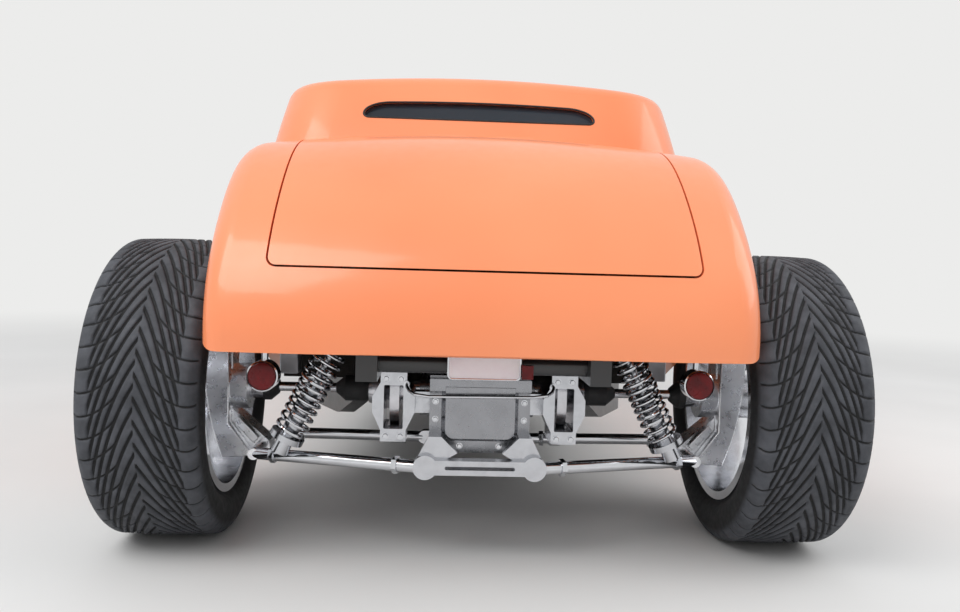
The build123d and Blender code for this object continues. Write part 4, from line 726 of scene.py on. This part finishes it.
def coil_wires():
    springs = Shape()
    for low_end, high_end in DAMPERS:
        for side in SIDES:
            path = coil(mirrored(low_end, side), mirrored(high_end, side), side)
            springs.tube(path, WIRE_R, WIRE_SIDES)
    piece = springs.build("coil_wires", MATERIALS["chrome"], "chassis")
    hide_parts("coil_springs")


# Bolts, nuts and pipe of the rear axle

COVER_FACE = REAR_AXLE_Y - 0.235
COVER_BOLT = (0.0065, 0.008)  # radius and height
# columns: x and height of the bolts round the right half of the differential's cover
COVER_BOLTS = [(0.113, 0.455), (0.113, 0.410), (0.113, 0.365), (0.100, 0.318), (0.050, 0.297)]
CALIPER_FACE = REAR_AXLE_Y - 0.192
CALIPER_BOLT = (0.0075, 0.009)
CALIPER_BOLTS = [(0.203, 0.310), (0.241, 0.310), (0.203, 0.459), (0.241, 0.459)]
# columns: inner end and outer end of an arm on the right side
LOWER_ARMS = [
    ((0.153, REAR_AXLE_Y - 0.301, 0.258), (0.588, REAR_AXLE_Y - 0.134, 0.245)),
    ((0.153, REAR_AXLE_Y + 0.165, 0.234), (0.588, REAR_AXLE_Y + 0.134, 0.245)),
]
ARM_NUT = [(0, 0.022), (0.013, 0.022)]  # along the arm, radius
ARM_NUTS = (0.11, 0.86)  # shares of the way out
PIPE_R = 0.0042
PIPE_SIDES = 12
PIPE_Y = REAR_AXLE_Y - 0.275  # where it crosses the cover
PIPE_NUT = [(0, 0.0085), (0.016, 0.0085)]
PIPE_NUT_AT = (0.188, CALIPER_FACE, 0.448)
PIPE_TILT = 0.003  # its right half lies this much higher
# columns: x, y and height of the pipe's left half, from the caliper to the cover
PIPE_BEND = [
    (-0.188, CALIPER_FACE + 0.004, 0.448),
    (-0.187, CALIPER_FACE - 0.045, 0.447),
    (-0.180, PIPE_Y + 0.014, 0.440),
    (-0.166, PIPE_Y, 0.433),
    (-0.13, PIPE_Y, 0.428),
]


def axle_bolts():
    hardware = Shape()
    for side in SIDES:
        for x, z in COVER_BOLTS:
            hardware.bolt((x * side, COVER_FACE, z), BACK, *COVER_BOLT)
        for x, z in CALIPER_BOLTS:
            hardware.bolt((x * side, CALIPER_FACE, z), BACK, *CALIPER_BOLT)
        for inner, outer in LOWER_ARMS:
            start = mirrored(inner, side)
            end = mirrored(outer, side)
            for share in ARM_NUTS:
                hardware.lathe(start.lerp(end, share), end - start, ARM_NUT, 6)
    hardware.build("axle_bolts", MATERIALS["chrome"], "chassis")


def brake_pipe():
    pipe = Shape()
    other_half = [(-x, y, z + PIPE_TILT) for x, y, z in reversed(PIPE_BEND)]
    pipe.tube(PIPE_BEND + other_half, PIPE_R, PIPE_SIDES)
    for side in SIDES:
        pipe.lathe(mirrored(PIPE_NUT_AT, side), BACK, PIPE_NUT, 6)
    pipe.build("brake_pipe", MATERIALS["chrome"], "chassis")


# Wheel nuts

HUB_FACES = {"rear": 0.100, "front": 0.080}  # out from the wheel's middle
NUTS = 5
NUT = (0.0105, 0.018)  # radius and height
NUT_CIRCLE = 0.052


def wheel_nuts(end, hand):
    centre = middle(f"{end}_tyre_{hand}")
    side = 1 if centre.x > 0 else -1
    nuts = Shape()
    for turn in range(NUTS):
        angle = math.tau * (turn + 0.5) / NUTS + math.pi / 2
        y = centre.y + NUT_CIRCLE * math.cos(angle)
        z = centre.z + NUT_CIRCLE * math.sin(angle)
        nuts.bolt((centre.x + side * HUB_FACES[end], y, z), (side, 0, 0), *NUT)
    name = f"{end}_wheel_{hand}_nuts"
    nuts.build(name, MATERIALS["chrome"], f"{end}_{hand}_wheel")


# Window seals, laid on the hardtop round each window

SEAL_R = 0.003
SEAL_OUT = 0.0015  # how far outside the opening the seal's middle runs
SEAL_SIDES = 8
CORNER_STEPS = 6
CAST_FROM = 3.0
# half width, lower edge, rise at the shoulders and rise in the middle
REAR_GLASS = (0.365, 1.213, 0.052, 0.058)
GLASS_END = (0.016, 0.012)
GLASS_SHOULDER = 0.095
# half width, lower edge and upper edge
WINDSHIELD = (0.470, 1.150, 1.308)
WINDSHIELD_CORNER = 0.030
# a side window's rear edge and the end of its upper edge, ahead of the rear axle
SIDE_GLASS = (0.745, 1.268)
SIDE_GLASS_LOW = 1.135
SIDE_GLASS_TOP = 1.305
SIDE_GLASS_CORNER = 0.045
SIDE_GLASS_STEPS = 12
SIDE_GLASS_FRONT = [(1.300, 1.296), (1.345, 1.249), (1.39, 1.202), (1.43, 1.160)]


def rear_window_outline():
    """The rear window's edge (x, height) from behind, a little outside the opening."""
    half, low, shoulder_rise, rise = REAR_GLASS
    corner, end_rise = GLASS_END
    end = low + end_rise
    shoulder_top = low + shoulder_rise + SEAL_OUT
    foot = half - corner
    shoulder = half - GLASS_SHOULDER
    small = (corner + SEAL_OUT, end_rise + SEAL_OUT)
    large = (GLASS_SHOULDER + SEAL_OUT, shoulder_top - end)
    crown = (0, low + rise + SEAL_OUT)
    points = [(-foot + 2 * foot * step / 40, low - SEAL_OUT) for step in range(40)]
    points += quarter((foot, end), small, -90, CORNER_STEPS)
    points += quarter((shoulder, end), large, 0, 16)
    points += arc((shoulder, shoulder_top), crown, (-shoulder, shoulder_top), 30)
    points += quarter((-shoulder, end), large, 90, 16)
    points += quarter((-foot, end), small, 180, CORNER_STEPS)
    return points


def level(start, end_x, steps=20):
    """Points on a level line between a point and a place, both left out."""
    x, z = start
    return [(x + (end_x - x) * step / steps, z) for step in range(1, steps)]


def windshield_outline():
    """The windshield's edge (x, height), a little outside the opening."""
    half, low, high = WINDSHIELD
    side = half - WINDSHIELD_CORNER
    top = high - WINDSHIELD_CORNER
    bottom = low + WINDSHIELD_CORNER
    radii = (WINDSHIELD_CORNER + SEAL_OUT, WINDSHIELD_CORNER + SEAL_OUT)
    points = quarter((side, top), radii, 0, CORNER_STEPS)
    points += level(points[-1], -side)
    points += quarter((-side, top), radii, 90, CORNER_STEPS)
    points += quarter((-side, bottom), radii, 180, CORNER_STEPS)
    points += level(points[-1], side)
    points += quarter((side, bottom), radii, 270, CORNER_STEPS)
    return points


def side_window_line():
    """A side window's edge (ahead, height), from its rear foot over to its front foot."""
    rear, top_end = SIDE_GLASS
    corner_at = (rear + SIDE_GLASS_CORNER, SIDE_GLASS_TOP - SIDE_GLASS_CORNER)
    radii = (SIDE_GLASS_CORNER, SIDE_GLASS_CORNER)
    run = (top_end - corner_at[0]) / SIDE_GLASS_STEPS
    points = [(rear, SIDE_GLASS_LOW), (rear, corner_at[1])]
    points += reversed(quarter(corner_at, radii, 90, CORNER_STEPS))
    points += [(corner_at[0] + run * step, SIDE_GLASS_TOP) for step in range(1, SIDE_GLASS_STEPS + 1)]
    return points + SIDE_GLASS_FRONT


def window_seals():
    mesh = NODES["hardtop"].data
    roof = BVHTree.FromPolygons(
        [vertex.co.copy() for vertex in mesh.vertices],
        [tuple(face.vertices) for face in mesh.polygons],
    )
    seal = Shape()

    def lay(points, along, closed):
        """A seal through the places where the points meet the hardtop."""
        hits = [roof.ray_cast(Vector(point) - along * CAST_FROM, along)[0] for point in points]
        seal.tube([hit for hit in hits if hit], SEAL_R, SEAL_SIDES, closed)

    lay([(x, 0, z) for x, z in rear_window_outline()], FORWARD, True)
    lay([(x, 0, z) for x, z in windshield_outline()], BACK, True)
    for side in SIDES:
        edge = [(0, REAR_AXLE_Y + a, z) for a, z in side_window_line()]
        lay(edge, Vector((-side, 0, 0)), False)
    seal.build("window_seals", MATERIALS["rubber"], "chassis")


# Rear faces of the uprights, and the flat link beside each

UPRIGHT_ARC = ((0.742, 0.556), (0.736, 0.390), (0.690, 0.214))
UPRIGHT_STEPS = 18
UPRIGHT_FOOT = [(0.690, 0.214), (0.612, 0.222), (0.617, 0.236), (0.674, 0.310), (0.674, 0.556)]
UPRIGHT_FACE = (-0.068, -0.035)  # ahead of the rear axle
LINK = ((0.657, 0.322), (0.600, 0.262))
LINK_HALF = 0.011
LINK_FACE = (-0.062, -0.035)
UPRIGHT_BEVEL = 0.003


def upright_plates():
    (x1, z1), (x2, z2) = LINK
    run = math.hypot(x2 - x1, z2 - z1)
    nx, nz = (z1 - z2) / run * LINK_HALF, (x2 - x1) / run * LINK_HALF
    link = [(x1 + nx, z1 + nz), (x2 + nx, z2 + nz), (x2 - nx, z2 - nz), (x1 - nx, z1 - nz)]
    upright = arc(*UPRIGHT_ARC, UPRIGHT_STEPS) + UPRIGHT_FOOT
    plates = Shape()
    for side in SIDES:
        for outline, face in ((upright, UPRIGHT_FACE), (link, LINK_FACE)):
            plates.slab([(x * side, z) for x, z in outline], *[REAR_AXLE_Y + a for a in face])
    plates.build("upright_plates", BILLET, "chassis", UPRIGHT_BEVEL)


# Ends of the frame's outer rails, seen under the tail inside the wheels

RAIL_LOW = (0.528, REAR_AXLE_Y + 0.160, 0.416)
RAIL_HIGH = (0.583, REAR_AXLE_Y + 0.220, 0.545)
RAIL_BEVEL = 0.004
BRACE = ((0.285, REAR_AXLE_Y + 0.190, 0.520), (0.535, REAR_AXLE_Y + 0.190, 0.520))
BRACE_R = 0.022
BRACE_SIDES = 20


def rail_ends():
    stubs = Shape()
    for side in SIDES:
        xs = sorted((RAIL_LOW[0] * side, RAIL_HIGH[0] * side))
        stubs.block((xs[0], *RAIL_LOW[1:]), (xs[1], *RAIL_HIGH[1:]))
    stubs.build("rail_ends", MATERIALS["steel"], "chassis", RAIL_BEVEL)


def rail_braces():
    braces = Shape()
    for side in SIDES:
        braces.tube([mirrored(end, side) for end in BRACE], BRACE_R, BRACE_SIDES)
    # the frame's paint, darkened as painted shade
    braces.build("rail_braces", MATERIALS["frame_paint"], "chassis")


# Lamps and plate

TAIL_LAMP = (0.523, REAR_AXLE_Y - 0.356, 0.482)
LAMP_R = 0.037
LENS_R = 0.032
LAMP_SIDES = 48
# columns: out of the lamp's face, radius
BEZEL = [(0, LENS_R), (0.003, LENS_R), (0.005, LENS_R + 0.002), (0.003, LAMP_R), (0, LAMP_R)]
LENS_DOME = [(0.0062, LENS_R - 0.0004), (0.0085, 0.026), (0.0105, 0.016), (0.0112, 0.004)]
PLATE = (0.170, 0.096)
PLATE_LOW = 0.491
PLATE_FACE = REAR_AXLE_Y - 0.396
PLATE_CORNER = 0.010
PLATE_EDGE_R = 0.0026
PLATE_EDGE_SIDES = 8
PLATE_BOLT = (0.0045, 0.005)
PLATE_BOLT_AT = (0.058, PLATE_FACE, PLATE_LOW + PLATE[1] - 0.014)
HEADLAMP = (0.455, REAR_AXLE_Y + 3.019, 0.775)  # the middle of its rim
HEADLAMP_R = 0.088
RIM_R = 0.006
RIM_IN = 0.004
RIM_STEPS = 10
RIM_SIDES = 64


def tail_lamps():
    bezels = Shape()
    lenses = Shape()
    for side in SIDES:
        bezels.lathe(mirrored(TAIL_LAMP, side), BACK, BEZEL, LAMP_SIDES, closed=True)
        lenses.lathe(mirrored(TAIL_LAMP, side), BACK, LENS_DOME, LAMP_SIDES)
    bezels.build("tail_bezels", MATERIALS["chrome"], "chassis")
    lenses.build("tail_domes", MATERIALS["red_lens"], "chassis")


def plate_frame():
    half_x = PLATE[0] / 2 - PLATE_CORNER
    half_z = PLATE[1] / 2 - PLATE_CORNER
    middle_z = PLATE_LOW + PLATE[1] / 2
    edge = []
    for x, z, start in ((1, 1, 0), (-1, 1, 90), (-1, -1, 180), (1, -1, 270)):
        at = (x * half_x, middle_z + z * half_z)
        edge += quarter(at, (PLATE_CORNER, PLATE_CORNER), start, 5, last=1)
    trim = Shape()
    trim.tube([(x, PLATE_FACE, z) for x, z in edge], PLATE_EDGE_R, PLATE_EDGE_SIDES, closed=True)
    for side in SIDES:
        trim.bolt(mirrored(PLATE_BOLT_AT, side), BACK, *PLATE_BOLT)
    trim.build("plate_frame", MATERIALS["chrome"], "chassis")


def headlamp_rims():
    ring = []
    for step in range(RIM_STEPS):
        turn = math.tau * step / RIM_STEPS
        out = RIM_R * math.cos(turn) + RIM_IN
        ring.append((out, HEADLAMP_R - RIM_IN + RIM_R * math.sin(turn)))
    rims = Shape()
    for side in SIDES:
        rims.lathe(mirrored(HEADLAMP, side), FORWARD, ring, RIM_SIDES, closed=True)
    rims.build("headlamp_rims", MATERIALS["chrome"], "chassis")


# Dashboard dials

DASH_FACE = REAR_AXLE_Y + 1.441
# columns: x, height, radius
DIALS = [(-0.420, 0.975, 0.040), (-0.330, 0.975, 0.030), (-0.240, 0.975, 0.040)]
DIAL_SIDES = 40
RIM_WIDE = (-0.004, 0.003)  # the rim's inner and outer edge, from the dial's radius
FACE_RISE = 0.0025
MARKS = 11
MARK_START = 225  # degrees, as is the step
MARK_STEP = 27
MARK_SHARES = (0.68, 0.84)
MARK_RISE = 0.0028
MARK_R = 0.0007
NEEDLE_TURN = math.radians(200)
NEEDLE_SHARE = 0.75
NEEDLE_RISE = 0.004
NEEDLE_R = 0.0009
NEEDLE_CAP = [(0.002, 0.004), (0.005, 0.004)]


def on_dial(at, turn, reach, rise):
    """A place on a dial, so far out from its middle and up from its face."""
    return at + Vector((math.cos(turn), 0, math.sin(turn))) * reach + BACK * rise


def dials():
    rims = Shape()
    faces = Shape()
    marks = Shape()
    for x, z, radius in DIALS:
        at = Vector((x, DASH_FACE, z))
        inner = radius + RIM_WIDE[0]
        outer = radius + RIM_WIDE[1]
        rim = [(0, inner), (0.006, inner), (0.008, radius - 0.001), (0.006, outer), (0, outer)]
        rims.lathe(at, BACK, rim, DIAL_SIDES, closed=True)
        faces.lathe(at, BACK, [(0, inner), (FACE_RISE, inner)], DIAL_SIDES)
        for step in range(MARKS):
            turn = math.radians(MARK_START - MARK_STEP * step)
            ends = [on_dial(at, turn, radius * share, MARK_RISE) for share in MARK_SHARES]
            marks.tube(ends, MARK_R, 5)
        tip = on_dial(at, NEEDLE_TURN, radius * NEEDLE_SHARE, NEEDLE_RISE)
        marks.tube([at + BACK * NEEDLE_RISE, tip], NEEDLE_R, 5)
        marks.lathe(at, BACK, NEEDLE_CAP, 16)
    rims.build("dial_rims", MATERIALS["chrome"], "chassis")
    faces.build("dial_faces", DIAL, "chassis")
    marks.build("dial_marks", MATERIALS["rubber"], "chassis")


# Seat: two cushions blown up as cloth over the seat's space, then drawn in at their channels

SEAT_HALF = 0.466
# columns: ahead and height of a cushion's side view, each corner inside the seat's space
CUSHIONS = {
    "seat_base": [(0.600, 0.425), (0.618, 0.596), (1.078, 0.600), (1.094, 0.484), (1.050, 0.432)],
    "seat_back": [(0.468, 0.505), (0.452, 0.998), (0.512, 1.014), (0.618, 0.622), (0.596, 0.500)],
}
CUSHION_EDGE = 0.022
CHANNELS = 8
CHANNEL_DEPTH = 0.009
CHANNEL_HALF = 0.011
SEAT_VOXEL = 0.011
SEAT_CAP = 0.024
SEAT_STEPS = 20
SEAT_PRESSURE = 4


def cushion_block(outline):
    """A closed block: a side view pushed across the car, with softened corners."""
    mesh = bpy.data.meshes.new("cushion")
    work = bmesh.new()
    ends = []
    for x in (-SEAT_HALF, SEAT_HALF):
        ends.append([work.verts.new((x, REAR_AXLE_Y + a, z)) for a, z in outline])
    work.faces.new(ends[0])
    work.faces.new(list(reversed(ends[1])))
    for step in range(len(outline)):
        after = (step + 1) % len(outline)
        work.faces.new((ends[0][step], ends[1][step], ends[1][after], ends[0][after]))
    bmesh.ops.recalc_face_normals(work, faces=work.faces)
    bmesh.ops.bevel(work, geom=work.edges[:], offset=CUSHION_EDGE, segments=3, affect="EDGES")
    work.to_mesh(mesh)
    work.free()
    return mesh


def evaluated(piece):
    """The piece's mesh with its modifiers worked out."""
    bpy.context.view_layer.update()
    return bpy.data.meshes.new_from_object(
        piece.evaluated_get(bpy.context.evaluated_depsgraph_get())
    )


def blown(piece):
    """Swells a cushion as pressed cloth, no point further than the cap."""
    remesh = piece.modifiers.new("remesh", "REMESH")
    remesh.mode = "VOXEL"
    remesh.voxel_size = SEAT_VOXEL
    mesh = evaluated(piece)
    piece.modifiers.clear()
    piece.data = mesh
    before = [vertex.co.copy() for vertex in mesh.vertices]
    cloth = piece.modifiers.new("cloth", "CLOTH")
    cloth.settings.use_pressure = True
    cloth.settings.uniform_pressure_force = SEAT_PRESSURE
    cloth.settings.effector_weights.gravity = 0
    for step in range(1, SEAT_STEPS + 1):
        bpy.context.scene.frame_set(step)
    swollen = evaluated(piece)
    piece.modifiers.clear()
    for vertex, start, end in zip(mesh.vertices, before, swollen.vertices):
        move = end.co - start
        if move.length > SEAT_CAP:
            move = move.normalized() * SEAT_CAP
        vertex.co = start + move
    bpy.context.scene.frame_set(1)


def channelled(mesh):
    """Draws the surface in along the sewn channels."""
    normals = [vertex.normal.copy() for vertex in mesh.vertices]
    for vertex, normal in zip(mesh.vertices, normals):
        place = (vertex.co.x + SEAT_HALF) / (2 * SEAT_HALF) * CHANNELS
        apart = abs(place - round(place)) * 2 * SEAT_HALF / CHANNELS
        if 0 < round(place) < CHANNELS and abs(normal.x) < 0.5:
            pull = math.exp(-((apart / CHANNEL_HALF) ** 2))
            vertex.co -= normal * CHANNEL_DEPTH * pull


def seat():
    for name, outline in CUSHIONS.items():
        piece = placed(name, cushion_block(outline))
        blown(piece)
        channelled(piece.data)
        smooth = piece.modifiers.new("smooth", "SUBSURF")
        smooth.levels = 1
        smooth.render_levels = 1
        piece.data.polygons.foreach_set("use_smooth", [True] * len(piece.data.polygons))
        piece.data.materials.clear()
        piece.data.materials.append(MATERIALS["leather"])
        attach(piece, "chassis")
        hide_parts("seat")


# Stage: a pale floor, soft light from all sides and two large lamps

FLOOR_HALF = 40.0
FLOOR_COLOUR = linear(226, 225, 223)
BACKGROUND = linear(236, 236, 235)
FADE = (2.5, 9.0)  # the floor turns into the background between these distances
SKY_LOW = (0.50, 0.50, 0.51, 1.0)
SKY_HIGH = (0.92, 0.94, 0.97, 1.0)
SKY_TOP = 0.75  # how steep a look up has to be to see the high colour alone
SKY_STRENGTH = 0.8
# columns: name, place, aim, size, power
LAMPS = [
    ("key", (-3.5, -4.5, 5.5), (0, -0.5, 0.6), (5, 4), 260),
    ("fill", (5.0, -1.5, 4.0), (0, 0, 0.6), (4, 4), 110),
]


def pale_rays(tree):
    """1 for the rays that show the background: the camera's, gloss and glass."""
    rays = tree.nodes.new("ShaderNodeLightPath")
    total = rays.outputs["Is Camera Ray"]
    for name in ("Is Glossy Ray", "Is Transmission Ray"):
        most = tree.nodes.new("ShaderNodeMath")
        most.operation = "MAXIMUM"
        tree.links.new(total, most.inputs[0])
        tree.links.new(rays.outputs[name], most.inputs[1])
        total = most.outputs["Value"]
    return total


def floor():
    """A pale floor that takes shadows and runs out into the background's own tone."""
    mesh = bpy.data.meshes.new("floor")
    corners = [(-1, -1), (1, -1), (1, 1), (-1, 1)]
    places = [(x * FLOOR_HALF, y * FLOOR_HALF, 0) for x, y in corners]
    mesh.from_pydata(places, [], [(0, 1, 2, 3)])
    sheet = placed("floor", mesh)
    look = Look("floor_paint", FLOOR_COLOUR, 0.8)
    look.colours(look.noise(0.7, 4.0), linear(221, 220, 218), linear(229, 228, 226))
    reach = look.node("ShaderNodeVectorMath")
    reach.operation = "LENGTH"
    look.link(look.place, reach.inputs[0])
    far = look.node("ShaderNodeMapRange")
    far.interpolation_type = "SMOOTHSTEP"
    far.inputs["From Min"].default_value = FADE[0]
    far.inputs["From Max"].default_value = FADE[1]
    look.link(reach.outputs["Value"], far.inputs["Value"])
    shown = look.node("ShaderNodeEmission")
    shown.inputs["Color"].default_value = BACKGROUND
    shown.inputs["Strength"].default_value = 1.0
    mix = look.node("ShaderNodeMixShader")
    share = look.math("MULTIPLY", far.outputs["Result"], pale_rays(look.tree))
    look.link(share, mix.inputs["Fac"])
    look.link(look.shader.outputs["BSDF"], mix.inputs[1])
    look.link(shown.outputs["Emission"], mix.inputs[2])
    look.link(mix.outputs["Shader"], look.tree.nodes["Material Output"].inputs["Surface"])
    mesh.materials.append(look.material)


def world():
    """Grey below and pale above; the camera, gloss and glass see one pale tone."""
    sky = bpy.data.worlds.new("studio")
    bpy.context.scene.world = sky
    sky.use_nodes = True
    tree = sky.node_tree
    background = tree.nodes["Background"]
    place = tree.nodes.new("ShaderNodeTexCoord")
    split = tree.nodes.new("ShaderNodeSeparateXYZ")
    ramp = tree.nodes.new("ShaderNodeValToRGB")
    ramp.color_ramp.elements[0].position = 0.0
    ramp.color_ramp.elements[0].color = SKY_LOW
    ramp.color_ramp.elements[1].position = SKY_TOP
    ramp.color_ramp.elements[1].color = SKY_HIGH
    tree.links.new(place.outputs["Generated"], split.inputs["Vector"])
    tree.links.new(split.outputs["Z"], ramp.inputs["Fac"])
    tree.links.new(ramp.outputs["Color"], background.inputs["Color"])
    background.inputs["Strength"].default_value = SKY_STRENGTH
    shown = tree.nodes.new("ShaderNodeBackground")
    shown.inputs["Color"].default_value = BACKGROUND
    shown.inputs["Strength"].default_value = 1.0
    mix = tree.nodes.new("ShaderNodeMixShader")
    tree.links.new(pale_rays(tree), mix.inputs["Fac"])
    tree.links.new(background.outputs["Background"], mix.inputs[1])
    tree.links.new(shown.outputs["Background"], mix.inputs[2])
    tree.links.new(mix.outputs["Shader"], tree.nodes["World Output"].inputs["Surface"])


def area_lamp(name, at, aim, size, power):
    data = bpy.data.lights.new(name, "AREA")
    data.shape = "RECTANGLE"
    data.size = size[0]
    data.size_y = size[1]
    data.energy = power
    lamp = placed(name, data)
    lamp.location = at
    lamp.rotation_mode = "QUATERNION"
    lamp.rotation_quaternion = (Vector(aim) - Vector(at)).to_track_quat("-Z", "Y")


def camera():
    """The photograph's camera, from its place, its angles and its focal length in pixels."""
    ahead = Vector(
        (
            math.sin(CAMERA_YAW) * math.cos(CAMERA_PITCH),
            math.cos(CAMERA_YAW) * math.cos(CAMERA_PITCH),
            math.sin(CAMERA_PITCH),
        )
    )
    right = Vector((math.cos(CAMERA_YAW), -math.sin(CAMERA_YAW), 0))
    up = right.cross(ahead)
    image_right = right * math.cos(CAMERA_ROLL) + up * math.sin(CAMERA_ROLL)
    image_up = up * math.cos(CAMERA_ROLL) - right * math.sin(CAMERA_ROLL)
    data = bpy.data.cameras.new("camera")
    data.sensor_width = SENSOR
    data.lens = SENSOR * FOCAL_PIXELS / IMAGE_WIDTH
    data.clip_start = 0.05
    data.clip_end = 200
    eye = placed("camera", data)
    turn = Matrix((image_right, image_up, -ahead)).transposed()
    eye.matrix_world = Matrix.Translation(CAMERA_AT) @ turn.to_4x4()
    bpy.context.scene.camera = eye


tyres()
coil_wires()
axle_bolts()
brake_pipe()
for wheel_end in ("rear", "front"):
    for wheel_hand in ("left", "right"):
        wheel_nuts(wheel_end, wheel_hand)
window_seals()
upright_plates()
rail_ends()
rail_braces()
tail_lamps()
plate_frame()
headlamp_rims()
dials()
seat()
floor()
world()
for lamp_row in LAMPS:
    area_lamp(*lamp_row)
camera()
bpy.context.scene.view_settings.view_transform = "Standard"
